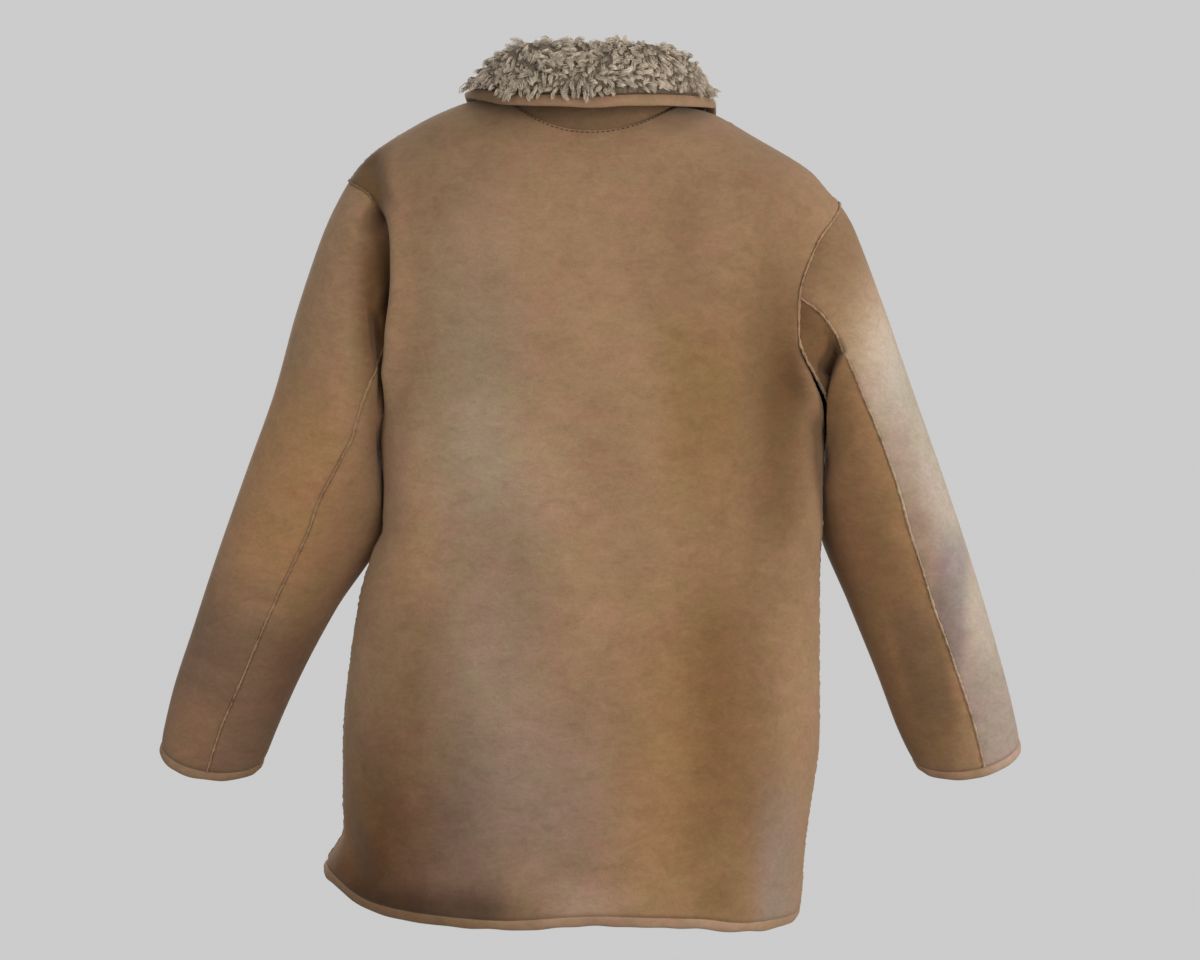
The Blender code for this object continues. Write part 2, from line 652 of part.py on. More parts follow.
def shoulder_top(x, y, z):
    """Height of the body's top at a place; z is near it and sets the body's depth there."""
    form = by_side(x, body("left_form", z), body("right_form", z))
    across = np.sqrt(1 - np.clip(np.abs(x) / form, 0, 1)**ACROSS_POWER)
    depth = np.where(y > 0, body("back", z), body("front", z))
    share = np.abs(y) / np.maximum(depth * across, 1)
    top = ridge_z(x) - RIDGE_ROUND * (1 - np.sqrt(1 - np.minimum(share, 1)**2))
    return np.where(share < 1, top, z - RIDGE_ROUND)


def off_body(points):
    """The fall's points, lifted or moved outward where they would touch the body."""
    moved = points.copy()
    x, y, z = moved[..., 0], moved[..., 1], moved[..., 2]
    facing = np.where(y > 0, 1, -1)
    surface = np.where(y > 0, body_y(x, z, 1), -body_y(x, z, -1))
    out = surface + COLLAR_CLEAR - np.abs(y)
    up = shoulder_top(x, y, z) + COLLAR_CLEAR - z
    inside = (out > 0) & (up > 0)
    moved[..., 1] += np.where(inside & (out < up), facing * out, 0)
    moved[..., 2] += np.where(inside & (out >= up), up, 0)
    return moved


def make_collar():
    seam = neck_seam()
    outward = unit(seam * [1, 1, 0])
    angles = np.degrees(np.arctan2(np.abs(seam[:, 0]), seam[:, 1]))
    along = column(COLLAR_TABLE, COLLAR_COLUMNS, "angle")
    suede = []
    for point, out, angle in zip(seam, outward, angles):
        at = {name: float(through(along, column(COLLAR_TABLE, COLLAR_COLUMNS, name), angle))
              for name in COLLAR_COLUMNS}
        path = collar_section(point, at)
        fallen = np.clip((path[:, 0] - at["lean"]) / at["edge_out"], 0, 1)
        side = np.sign(point[0]) * np.array([1, 0, 0])
        spot = point + path[:, :1] * out + path[:, 1:] * np.array([0, 0, 1])
        suede.append(spot + fallen[:, None] * at["sway"] * side)
    suede = np.array(suede)
    suede[:, -FALL_ROWS:] = off_body(suede[:, -FALL_ROWS:])
    normal = unit(np.cross(np.gradient(suede, axis=0), np.gradient(suede, axis=1)))
    if (normal[:, 0] * outward).sum() > 0:
        normal = -normal
    cloth, cloth_normal = suede[:, :-1], normal[:, :-1]
    wall("collar", cloth, cloth + cloth_normal * COLLAR_CLOTH, SUEDE)
    base = COLLAR_CLOTH + COLLAR_GAP
    reach = np.full(cloth.shape[:2], PILE)
    reach[:, [0, -1]] *= PILE_EDGE
    wall("collar_pile", cloth + cloth_normal * base,
         cloth + cloth_normal * (base + reach)[..., None], PILE_COLOUR)
    end = cloth[:, -1]
    way = unit(suede[:, -1] - end)
    across = cloth_normal[:, -1]
    surface = end + way * COLLAR_EDGE_GAP + across * (COLLAR_CLOTH + CLOTH) / 2
    strip("collar_binding", surface, way, across, COLLAR_BINDING, BINDING_THICKNESS, SUEDE)


def make_buttons():
    """Plain round buttons down the centre front, each a turned disc lying on the cloth."""
    turns = np.arange(BUTTON_SIDES) * 2 * math.pi / BUTTON_SIDES
    for number, z in enumerate(BUTTON_HEIGHTS_Z, 1):
        above, below = (np.array([0, float(body_y(0.0, z + way, -1)), z + way])
                        for way in (BUTTON_RADIUS, -BUTTON_RADIUS))
        up = unit(above - below)
        out = np.cross([1, 0, 0], up) * -1
        out = out * np.sign(-out[1])
        side = np.array([1.0, 0.0, 0.0])
        centre = np.array([0.0, float(body_y(0.0, z, -1)), z])
        centre = centre + out * (OVERLAP_LIFT + BUTTON_CLEAR)
        vertices = [centre + out * BUTTON_PROFILE[0][1], centre]
        for radius, height in BUTTON_PROFILE:
            for turn in turns:
                vertices.append(centre + out * height + side * radius * math.cos(turn)
                                + up * radius * math.sin(turn))
        faces = []
        for i in range(BUTTON_SIDES):
            j = (i + 1) % BUTTON_SIDES
            faces.append((0, 2 + i, 2 + j))
            for k in range(len(BUTTON_PROFILE) - 1):
                low, high = 2 + k * BUTTON_SIDES, 2 + (k + 1) * BUTTON_SIDES
                faces.append((low + i, high + i, high + j, low + j))
            last = 2 + (len(BUTTON_PROFILE) - 1) * BUTTON_SIDES
            faces.append((1, last + j, last + i))
        mesh_object(f"button_{number}", vertices, faces, HORN)


def main():
    for old in list(bpy.data.objects):
        bpy.data.objects.remove(old)
    make_body()
    make_sleeve("left", 1, LEFT_RINGS)
    make_sleeve("right", -1, RIGHT_RINGS)
    make_collar()
    make_buttons()


main()
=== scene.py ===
# Looks of a thigh-length coat of suede bonded to teddy pile, filled out as if worn.
# Sizes are millimetres in the part's own frame: +X the wearer's left, +Y the coat's back, +Z up,
# origin at the neck. They are turned into metres when a mesh is made.
import math

import bpy
import numpy as np
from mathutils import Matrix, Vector


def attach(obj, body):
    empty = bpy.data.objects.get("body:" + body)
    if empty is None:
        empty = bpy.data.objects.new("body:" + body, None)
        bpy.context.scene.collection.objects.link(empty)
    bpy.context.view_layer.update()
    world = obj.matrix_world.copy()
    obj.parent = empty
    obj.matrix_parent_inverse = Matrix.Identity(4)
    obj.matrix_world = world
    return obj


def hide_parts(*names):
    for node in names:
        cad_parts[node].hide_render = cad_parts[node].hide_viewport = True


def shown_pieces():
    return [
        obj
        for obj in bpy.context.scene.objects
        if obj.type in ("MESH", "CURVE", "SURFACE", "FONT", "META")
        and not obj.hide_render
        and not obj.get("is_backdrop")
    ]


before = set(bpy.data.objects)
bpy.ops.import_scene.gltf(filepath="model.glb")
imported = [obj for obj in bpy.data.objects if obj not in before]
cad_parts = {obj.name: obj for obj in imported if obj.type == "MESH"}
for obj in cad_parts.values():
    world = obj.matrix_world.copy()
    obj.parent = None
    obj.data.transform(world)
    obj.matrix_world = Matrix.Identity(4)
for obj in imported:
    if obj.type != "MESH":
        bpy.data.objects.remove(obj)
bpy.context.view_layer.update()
print("frame loaded")

mm = 0.001
anyPhase = 6.28          # chance phases run from 0 to about a whole turn
seeds = {"hem": 20, "frontEdge": 31, "cuff": 40, "armhole": 50, "collar": 70, "side": 80,
         "shoulder": 90, "swirl": 21, "clump": 33, "backArm": 80, "frontArm": 85}
scene = bpy.context.scene


# Camera: level, behind the coat, at the photograph's distance

cameraPlace = {"at": (-0.010, 2.2, -0.37), "turn": (90.0, 0.0, 180.0), "lens": 66.0}


def makeCamera():
    lens = bpy.data.cameras.new("photo_camera")
    lens.lens = cameraPlace["lens"]
    camera = bpy.data.objects.new("photo_camera", lens)
    camera.location = cameraPlace["at"]
    camera.rotation_euler = [math.radians(angle) for angle in cameraPlace["turn"]]
    scene.collection.objects.link(camera)
    scene.camera = camera


# The coat's form

cut = {
    "cloth": 3.8,              # suede with the pile inside
    "collarCloth": 3.0,        # suede of the collar without its pile
    "collarGap": 0.7,          # between the neck seam and the stand
    "pileReach": 10.5,
    "binding": 10.0, "bindingThickness": 5.6,
    "collarBinding": 11.5, "collarEdgeGap": 1.4, "collarClear": 6.5,
    "underarmZ": -330.0,
    "neckHalfWidth": 88.0,
    "neckColumn": 0.4,         # the column, of 0 to 1 from centre to side, on the neck point
    "backNeckZ": -33.0, "backNeckPower": 2.2,
    "frontNeckZ": -90.0, "frontNeckPower": 1.8,
    "ridgeRound": 60.0,        # height over which the shoulder turns from back to front
    "squareness": 2.4,         # of the body's plan
    "overlap": 32.0,           # each front passes the centre by this much
    "overlapLift": 7.0, "liftRun": 60.0,
    "armholeFullness": 0.79,
    "sleeveClear": 2.5, "clearRun": 12.0,
    "armholeRings": 2.2,       # rings over which a sleeve is drawn onto its armhole
}

# How finely each piece is meshed
mesh = {
    "armhole": 84,             # steps up half an armhole
    "skirt": 104,              # steps from the underarm to the hem
    "neck": 30,                # columns from the centre to the neck point
    "shoulder": 38,            # columns from the neck point to the side
    "overlap": 8,              # columns past the centre on each front
    "ring": 16,                # rows from one sleeve ring to the next
    "collarAlong": 6,          # steps between the neck seam's points
    "collarAcross": 6,
}

bodyForm = {
    "columns": ("z", "leftEdge", "leftForm", "rightEdge", "rightForm", "back", "front"),
    "rows": (
        (40, 240, 258, 249, 264, 62, 52),
        (0, 240, 258, 249, 264, 72, 62),
        (-33, 240, 258, 249, 264, 84, 74),
        (-70, 240, 258, 249, 264, 99, 90),
        (-93, 214, 250, 249, 264, 108, 98),
        (-140, 195, 240, 222, 254, 118, 110),
        (-190, 189, 229, 204, 246, 123, 118),
        (-235, 189, 220, 202, 241, 124, 122),
        (-272, 195, 213, 217, 238, 123, 124),
        (-300, 204, 210, 230, 236, 122, 124),
        (-330, 209, 209, 234, 234, 120, 122),
        (-380, 206, 206, 233, 233, 118, 119),
        (-420, 207, 207, 232, 232, 118, 118),
        (-440, 216, 216, 230, 230, 118, 118),
        (-480, 228, 228, 229, 229, 120, 119),
        (-540, 238, 238, 229, 229, 124, 121),
        (-620, 246, 246, 229, 229, 130, 125),
        (-700, 249, 249, 219, 219, 136, 129),
        (-740, 254, 254, 214, 214, 138, 131),
        (-765, 262, 262, 212, 212, 139, 132),
        (-810, 268, 268, 211, 211, 141, 134),
    ),
}

shoulderLine = {
    "columns": ("x", "leftZ", "rightZ"),
    "rows": (
        (0, 36, 26), (60, 20, 10), (88, 12, 3), (105, 9.5, 0), (122, 6.5, -5), (140, 0, -14),
        (160, -9, -26), (180, -20, -37.5), (200, -32, -49), (220, -46.5, -62.5), (235, -64, -79),
        (240, -70, -85), (249, -84, -93), (265, -115, -112),
    ),
}

# Bottom edge against the place round the body: -1 the right side seam, 0 the centre, 1 the left
hemLine = {
    "columns": ("round", "backZ", "frontZ"),
    "rows": (
        (-1.0, -796, -796), (-0.8, -804, -799), (-0.51, -802, -799), (-0.3, -793, -798),
        (-0.03, -789, -797), (0.21, -794, -796), (0.4, -791, -792), (0.57, -785, -786),
        (0.67, -779, -780), (0.8, -770, -772), (1.0, -763, -763),
    ),
}

# Sleeve rings: outer and inner ends seen from behind, place front to back, half depth, droop
ringColumns = ("outerX", "outerZ", "innerX", "innerZ", "y", "halfDepth", "tilt")
leftArm = {
    "side": 1, "name": "left", "columns": ringColumns,
    "rows": (
        (240, -70, 209, -330, 0, 70, 0),
        (262, -113, 212, -347, -3, 74, 0),
        (293, -200, 208, -363, -8, 76, 0),
        (317, -280, 204, -390, -18, 76, 3),
        (348, -360, 212, -430, -32, 70, 7),
        (382, -451, 258, -500, -44, 62, 12),
        (407, -522, 295, -567, -54, 54, 17),
        (429, -585, 322, -625, -64, 48, 21),
        (446, -651, 338, -663, -74, 44, 25),
    ),
    # turn round each ring, from the top towards the back, of the back-arm seam
    "backSeam": (0.272, 0.322, 0.332, 0.294, 0.268, 0.268, 0.266, 0.256, 0.250),
    "frontSeam": 0.70,
    "suedes": ("left_sleeve", "left_sleeve"),    # of the top and of the under sleeve, whose suedes carry their own painted light and shade
}
rightArm = {
    "side": -1, "name": "right", "columns": ringColumns,
    "rows": (
        (249, -93, 234, -330, 0, 70, 0),
        (261, -113, 236, -347, -3, 75, 0),
        (295, -200, 234, -363, -8, 78, 0),
        (323, -275, 229, -388, -18, 79, 3),
        (359, -370, 232, -420, -32, 73, 7),
        (388, -451, 263, -495, -44, 62, 12),
        (411, -522, 292, -564, -54, 54, 17),
        (430, -585, 316, -625, -64, 48, 21),
        (446, -648, 335, -663, -74, 44, 25),
    ),
    "backSeam": (0.25, 0.242, 0.254, 0.228, 0.216, 0.220, 0.214, 0.208, 0.213),
    "frontSeam": 0.70,
    "suedes": ("right_top_sleeve", "right_under_sleeve"),
}

# Collar against the angle round the neck from the centre back
collarForm = {
    "columns": ("angle", "leftRollZ", "rightRollZ", "lean", "edgeOut", "leftEdgeZ", "rightEdgeZ",
                "sway"),
    "rows": (
        (0, 38, 38, 4, 32, -17, -17, 0),
        (35, 40, 40.5, 5, 33, -12, -12, 0),
        (65, 29, 32, 6, 35, 2, -6, 0),
        (90, 21, 23, 6, 36, 10, 0, 0),
        (120, 2, 3, 7, 32, -30, -38, 3),
        (150, -24, -24, 7, 26, -84, -88, 12),
        (180, -50, -50, 6, 22, -132, -134, 30),
    ),
    "rollRadius": 6.0, "rollAngles": (135, 90, 45, 0), "fallShares": (1 / 3, 2 / 3, 1.0),
    "opening": 14.0, "fallRows": 5, "neckSteps": 6,
    "nearby": 0.01, "below": 0.97,    # places near the neck seam that give its direction
}


def column(table, name):
    return np.array([row[table["columns"].index(name)] for row in table["rows"]], float)


def through(places, values, at):
    # smooth values through a table's rows, with no overshoot between them
    order = np.argsort(places)
    x, y = np.asarray(places, float)[order], np.asarray(values, float)[order]
    step = np.diff(x)
    rise = np.diff(y) / step
    slope = np.zeros_like(y)
    inner = rise[:-1] * rise[1:] > 0
    slope[1:-1][inner] = 2 * rise[:-1][inner] * rise[1:][inner] / (rise[:-1] + rise[1:])[inner]
    slope[0], slope[-1] = rise[0], rise[-1]
    at = np.clip(np.asarray(at, float), x[0], x[-1])
    i = np.clip(np.searchsorted(x, at, side="right") - 1, 0, len(step) - 1)
    t = (at - x[i]) / step[i]
    start = y[i] * (2 * t**3 - 3 * t**2 + 1) + slope[i] * step[i] * (t**3 - 2 * t**2 + t)
    return start + y[i + 1] * (3 * t**2 - 2 * t**3) + slope[i + 1] * step[i] * (t**3 - t**2)


def unit(vectors):
    return vectors / np.maximum(np.linalg.norm(vectors, axis=-1, keepdims=True), 1e-12)


def softStep(value):
    t = np.clip(value, 0, 1)
    return t * t * (3 - 2 * t)


def bySide(x, left, right):
    return np.where(np.asarray(x) >= 0, left, right)


def bell(distance, reach):
    return np.exp(-(distance / reach)**2)


def looked(table, key, name, at):
    # a column of a table, smoothly read at places in its key column
    return through(column(table, key), column(table, name), at)


def pairsAt(pairs, at):
    return through(*np.array(pairs, float).T, at)


def turnedOut(normal, outward):
    return normal if (normal * outward).sum() > 0 else -normal


def bodySize(name, z):
    return looked(bodyForm, "z", name, z)


def formAt(x, z):
    return bySide(x, bodySize("leftForm", z), bodySize("rightForm", z))


def tipZ(x):
    return bySide(x, leftArm["rows"][0][1], rightArm["rows"][0][1])


def ridgeZ(x):
    left, right = (looked(shoulderLine, "x", side, np.abs(x)) for side in ("leftZ", "rightZ"))
    blend = softStep(np.asarray(x) / cut["neckHalfWidth"] / 2 + 0.5)
    return right + (left - right) * blend


def acrossAt(x, z):
    return np.sqrt(1 - np.clip(np.abs(x) / formAt(x, z), 0, 1)**cut["squareness"])


def depthAt(y, z):
    return np.where(y > 0, bodySize("back", z), bodySize("front", z))


def bodyY(x, z, facing):
    below = np.clip((ridgeZ(x) - z) / cut["ridgeRound"], 0, 1)
    over = np.sqrt(1 - (1 - below)**2)
    depth = bodySize("back", z) if facing > 0 else bodySize("front", z)
    return facing * depth * acrossAt(x, z) * over


def bodyX(s, z):
    size = np.abs(s)
    z = np.minimum(z, tipZ(s))
    form = formAt(s, z)
    edge = bySide(s, bodySize("leftEdge", z), bodySize("rightEdge", z))
    neck = np.arcsin(cut["neckHalfWidth"] / form)
    side = np.arcsin(np.clip(edge / form, 0, 1))
    share = size / cut["neckColumn"]
    outer = (size - cut["neckColumn"]) / (1 - cut["neckColumn"])
    outer = form * np.sin(neck + (side - neck) * outer)
    return np.sign(s) * np.where(share < 1, cut["neckHalfWidth"] * share, outer)


def topZ(s, facing):
    x = bodyX(s, tipZ(s))
    point = ridgeZ(np.sign(x) * cut["neckHalfWidth"])
    share = np.clip(np.abs(x) / cut["neckHalfWidth"], 0, 1)
    low, power = (cut[("back" if facing > 0 else "front") + name] for name in ("NeckZ", "NeckPower"))
    return np.where(share < 1, low + (point - low) * share**power, ridgeZ(x))


def hemZ(s, facing):
    level = hemLine["rows"][0][1]
    x = bodyX(s, level)
    place = np.arcsin(np.clip(x / formAt(s, level), -1, 1)) / (math.pi / 2)
    return looked(hemLine, "round", "backZ" if facing > 0 else "frontZ", place)


def bodyPoint(s, rise, facing, lift=0.0):
    # rise is -1 at the hem, 0 at the underarm and 1 at the top
    s, rise = np.broadcast_arrays(np.asarray(s, float), np.asarray(rise, float))
    under = cut["underarmZ"]
    top, hem = topZ(s, facing), hemZ(s, facing)
    z = under + np.where(rise > 0, (top - under) * rise, (under - hem) * rise)
    x = bodyX(s, z)
    raised = lift * softStep((x + cut["overlap"] + cut["liftRun"]) / cut["liftRun"])
    return np.stack([x, bodyY(x, z, facing) + facing * raised, z], axis=-1)


def armholeRise(turn):
    # 0 is the shoulder tip, a half the underarm
    return ((1 + np.cos(2 * math.pi * np.asarray(turn))) / 2)**cut["armholeFullness"]


def armholePoint(side, turn):
    turn = np.asarray(turn, float) % 1
    s, rise = np.full_like(turn, side), armholeRise(turn)
    return np.where((turn <= 0.5)[..., None], bodyPoint(s, rise, 1), bodyPoint(s, rise, -1))


def ringValue(arm, name, place):
    return through(np.arange(len(arm["rows"])), column(arm, name), place)


def ringPoint(arm, turn, place):
    turn, place = np.broadcast_arrays(np.asarray(turn, float), np.asarray(place, float))
    value = {name: ringValue(arm, name, place) for name in ringColumns}
    angle = 2 * math.pi * turn
    tilt = np.radians(value["tilt"])
    depth = value["halfDepth"] * np.sin(angle)
    outX, outZ = value["outerX"] - value["innerX"], value["outerZ"] - value["innerZ"]
    x = (value["outerX"] + value["innerX"]) / 2 + outX / 2 * np.cos(angle)
    z = (value["outerZ"] + value["innerZ"]) / 2 + outZ / 2 * np.cos(angle)
    y = value["y"] + depth * np.cos(tilt)
    return np.stack([arm["side"] * x, y, z - depth * np.sin(tilt)], axis=-1)


def ringMiddle(arm, place):
    return (ringPoint(arm, 0.0, place) + ringPoint(arm, 0.5, place)) / 2


def bodySide(y, z, side):
    form = bodySize("leftForm" if side > 0 else "rightForm", z)
    share = np.clip(np.abs(y) / depthAt(y, z), 0, 1)
    return form * (1 - share**2)**(1 / cut["squareness"])


def sleevePoint(arm, turn, place):
    # drawn onto the armhole over the first rings, and kept off the body
    side = arm["side"]
    turn, place = np.broadcast_arrays(np.asarray(turn, float), np.asarray(place, float))
    fade = (1 - softStep(place / cut["armholeRings"]))[..., None]
    pull = armholePoint(side, turn) - ringPoint(arm, turn, np.zeros_like(place))
    point = ringPoint(arm, turn, place) + pull * fade
    below = softStep((cut["underarmZ"] - point[..., 2]) / cut["clearRun"])
    least = bodySide(point[..., 1], point[..., 2], side) + cut["sleeveClear"]
    lacking = np.maximum(least - side * point[..., 0], 0) * below
    point[..., 0] += side * lacking
    return point


def seamTurn(arm, place):
    back = through(np.arange(len(arm["backSeam"])), arm["backSeam"], place)
    return back, np.full_like(back, arm["frontSeam"])


# Folds and the cloth's own unevenness, as depths sunk into the back (face 1) or front (face -1)

# line: (x, z) from top to bottom; width: to the left and to the right of it seen from behind;
# swell: the rounded lip beside it, on the same two sides
folds = {
    "columns": ("face", "depth", "width", "swell", "line"),
    "rows": (
        (1, 11, (20, 8), (0, 3.0), ((218, -42), (212, -66), (206, -90), (199, -112), (192, -140))),
        (1, 7.5, (24, 15), (0.5, 1.5),
         ((-232, -90), (-214, -130), (-196, -180), (-187, -240), (-188, -330), (-196, -400))),
        (1, 4.2, (20, 30), (1.6, 0), ((-70, -70), (-84, -120), (-96, -180), (-112, -250))),
        (1, 4.5, (22, 26), (1.5, 0), ((-160, -230), (-168, -330), (-164, -440), (-150, -560))),
        (1, 4.0, (26, 30), (1.5, 0.5), ((-120, -560), (-100, -640), (-84, -700), (-78, -770))),
        (1, 2.6, (36, 30), (0, 0), ((96, -110), (104, -230), (98, -360), (86, -500), (80, -640))),
        (1, 3.4, (24, 24), (0.5, 0.8), ((176, -440), (172, -540), (160, -640), (150, -750))),
        (1, 9, (8, 11), (2.4, 0.8), ((244, -700), (236, -722), (226, -740), (217, -762))),
        (1, 3.0, (12, 20), (1.0, 0.6), ((232, -610), (216, -660), (190, -716), (160, -760))),
        (1, 6, (4, 8), (1.5, 0), ((188, -180), (198, -200), (207, -216), (206, -232), (206, -252))),
        (1, 2.4, (12, 10), (0.8, 0.8), ((300, -330), (318, -352), (340, -366))),
        (1, 3.2, (9, 13), (1.0, 1.2), ((384, -468), (352, -484), (318, -492), (292, -486))),
        (1, 2.2, (9, 12), (0.6, 0.8), ((408, -540), (380, -556), (350, -552))),
        (1, 2.4, (11, 12), (0.8, 0.8), ((-300, -400), (-322, -424), (-350, -436))),
        (1, 2.6, (10, 12), (0.8, 1.0), ((-326, -486), (-352, -500), (-384, -496))),
        (-1, 8, (20, 11), (0, 2), ((206, -70), (198, -120), (192, -190), (194, -260))),
        (-1, 7, (22, 14), (0, 2), ((-212, -90), (-200, -150), (-194, -220), (-200, -290))),
        (-1, 3.0, (28, 34), (0, 0), ((120, -120), (112, -260), (118, -420), (128, -600))),
        (-1, 3.4, (30, 26), (0, 0.6), ((-130, -140), (-118, -300), (-124, -460), (-140, -640))),
        (-1, 3.2, (18, 22), (0.8, 0.4), ((176, -600), (168, -680), (172, -760))),
        (-1, 3.4, (20, 20), (0.6, 0.8), ((-180, -560), (-172, -660), (-164, -750))),
        (-1, 3.4, (11, 12), (1, 1), ((378, -476), (346, -492), (312, -486))),
        (-1, 3.2, (11, 13), (1, 1), ((-312, -470), (-348, -488), (-380, -482))),
    ),
    # shares of a line over which its fold sets in and runs out, and widths from it to its lip
    "setIn": 0.22, "runOut": 0.3, "lipAt": 1.9,
}

# A sleeve doubles up under the arm: a deep tuck along a line of turns round it and places down it,
# with an edge below it that hangs over. depth, above, below and lip are millimetres.
tucks = {
    "left": {"line": ((0.22, 0.84), (0.30, 0.80), (0.40, 0.76)), "turns": (0.22, 0.27, 0.40, 0.47),
             "depth": 9, "above": 7, "below": 4.5, "lip": 0.6},
    "right": {"line": ((0.24, 1.50), (0.27, 1.41), (0.30, 1.33), (0.33, 1.26), (0.36, 1.20),
                       (0.40, 1.12), (0.46, 1.0)),
              "turns": (0.240, 0.262, 0.43, 0.49),
              "depth": 30, "above": 14, "below": 3.6, "lip": 6.0},
    "lipAt": 7, "lipWidth": 0.7, "lipRise": 0.5,
    "placeStep": 0.02, "turnStep": 0.005,    # short ways along the sleeve and round it
}

# The back rolls over the left armhole seam between these heights and hides it
roll = {"heights": (-92, -114, -262, -312), "inward": 3.0, "down": 27.0, "reach": 7.5,
        "swell": ((-90, 2), (-126, 5), (-162, 10), (-200, 14), (-236, 18), (-275, 16), (-320, 10)),
        "swellAt": 11.5, "swellRun": 10.0, "proud": 4.0, "sleeveReach": 24.0}

# Behind the right underarm the seam stands out towards the back instead of lying in a groove
underLift = {"heights": (-205, -278, -300, -334), "up": 19.0, "bodyReach": 34.0}

# The hem's left end flicks outward: sideways moves against height, and its rise
hemFlick = {"moves": ((-620, 0), (-690, -2), (-720, -5), (-733, 0), (-748, 4.5), (-775, 5)),
            "rise": 9.0, "from": -728, "run": 45.0, "near": 0.72}

# Long waves all over, and the short swell of pressed pile; the lengths of each are spread by these
waves = {"seed": 11, "count": 9, "size": 0.55, "lengths": (70.0, 260.0), "slant": 0.5, "upright": 0.6}
swells = {"count": 10, "length": 17.0, "spread": (0.7, 1.6), "seed": 5, "even": 3.2}

# Depths over which a fold or a roll of the back fades towards the front
backFade = {"fold": 45.0, "seam": 20.0}


def denseLine(line, count=18):
    line = np.array(line, float)
    at = np.arange(len(line))
    fine = np.linspace(0, len(line) - 1, count)
    return np.stack([through(at, line[:, i], fine) for i in (0, 1)], axis=-1)


def toLine(x, z, line):
    # distance to a line, the share along it, and on which side the point lies
    best = np.full(x.shape, 1e9)
    along, side = np.zeros(x.shape), np.zeros(x.shape)
    last = len(line) - 1
    for i in range(last):
        (ax, az), (bx, bz) = line[i], line[i + 1]
        dx, dz = bx - ax, bz - az
        t = np.clip(((x - ax) * dx + (z - az) * dz) / (dx * dx + dz * dz), 0, 1)
        away = np.hypot(x - ax - dx * t, z - az - dz * t)
        nearer = away < best
        best = np.where(nearer, away, best)
        along = np.where(nearer, (i + t) / last, along)
        side = np.where(nearer, dx * (z - az) - dz * (x - ax), side)
    return best, along, side


def foldDepth(x, z, face):
    depth = np.zeros(x.shape)
    for itsFace, deepest, widths, swell, line in folds["rows"]:
        if itsFace != face:
            continue
        away, along, side = toLine(x, z, denseLine(line))
        width = np.where(side > 0, *widths)
        lip = np.where(side > 0, *swell) * bell(away - folds["lipAt"] * width, width)
        fade = softStep(along / folds["setIn"]) * softStep((1 - along) / folds["runOut"])
        depth += fade * (deepest * bell(away, width) - lip)
    return depth


def waveDepth(x, z, face):
    chance = np.random.default_rng(waves["seed"] + face)
    depth = np.zeros(x.shape)
    for _ in range(waves["count"]):
        turn = 2 * math.pi / chance.uniform(*waves["lengths"])
        angle = chance.uniform(-waves["slant"], waves["slant"]) * math.pi
        phase = chance.uniform(0, 2 * math.pi)
        depth += np.sin(turn * (x * math.cos(angle) + z * math.sin(angle) * waves["upright"]) + phase)
    return depth * waves["size"]


def creased(points, middleY=0.0):
    x, y, z = points[..., 0], points[..., 1], points[..., 2]
    moved = points.copy()
    for face in (1, -1):
        weight = softStep(face * (y - middleY) / backFade["fold"])
        moved[..., 1] -= face * weight * (foldDepth(x, z, face) + waveDepth(x, z, face))
    return moved


def between(heights, z):
    top, full, low, end = heights
    return softStep((top - z) / (top - full)) * softStep((z - end) / (low - end))


def tuckUnder(base, arm, turn, place):
    # how far the sleeve's cloth moves where it doubles up under the arm
    tuck, step, aside = tucks[arm["name"]], tucks["placeStep"], tucks["turnStep"]
    ahead, behind = (sleevePoint(arm, turn, at) for at in (place + step, np.maximum(place - step, 0)))
    run = np.linalg.norm(ahead - behind, axis=-1, keepdims=True)
    along = (ahead - behind) / np.maximum(run, 1e-9)
    around = sleevePoint(arm, turn + aside, place) - sleevePoint(arm, turn - aside, place)
    out = unit(np.cross(around, along))
    out = out * np.sign((out * (base - ringMiddle(arm, place))).sum(-1, keepdims=True))
    perPlace = run[..., 0] / (np.minimum(place, step) + step)
    away = (place - pairsAt(tuck["line"], turn)) * perPlace
    first, full, low, last = tuck["turns"]
    share = softStep((turn - first) / (full - first)) * softStep((last - turn) / (last - low))
    sunk = tuck["depth"] * bell(away, np.where(away < 0, tuck["above"], tuck["below"]))
    lip = tuck["lip"] * bell(away - tucks["lipAt"], tucks["lipWidth"] * tucks["lipAt"])
    sunk, lip = (sunk - tucks["lipRise"] * lip)[..., None], lip[..., None]
    return share[..., None] * (-out * sunk - along * lip)


def sleeveSkin(arm, turn, place):
    turn, place = np.broadcast_arrays(np.asarray(turn, float), np.asarray(place, float))
    base = sleevePoint(arm, turn, place)
    moved = creased(base, ringValue(arm, "y", place)) + tuckUnder(base, arm, turn, place)
    start = armholePoint(arm["side"], turn)
    away = np.linalg.norm(base - start, axis=-1)
    toBack = softStep(start[..., 1] / backFade["seam"])
    if arm["side"] > 0:
        share = between(roll["heights"], start[..., 2]) * toBack
        moved[..., 0] -= share * roll["inward"] * bell(away, roll["reach"])
        moved[..., 1] -= share * roll["down"] * bell(away, roll["sleeveReach"])
    else:
        share = between(underLift["heights"], start[..., 2]) * toBack
        above = 1 - softStep(place / pairsAt(tucks["right"]["line"], turn))
        moved[..., 1] += share * underLift["up"] * above
    return moved


def flicked(points, z, x):
    near = softStep((x / formAt(x, z) - hemFlick["near"]) / (1 - hemFlick["near"]))
    points[..., 0] += near * pairsAt(hemFlick["moves"], z)
    points[..., 2] += near**2 * hemFlick["rise"] * softStep((hemFlick["from"] - z) / hemFlick["run"])


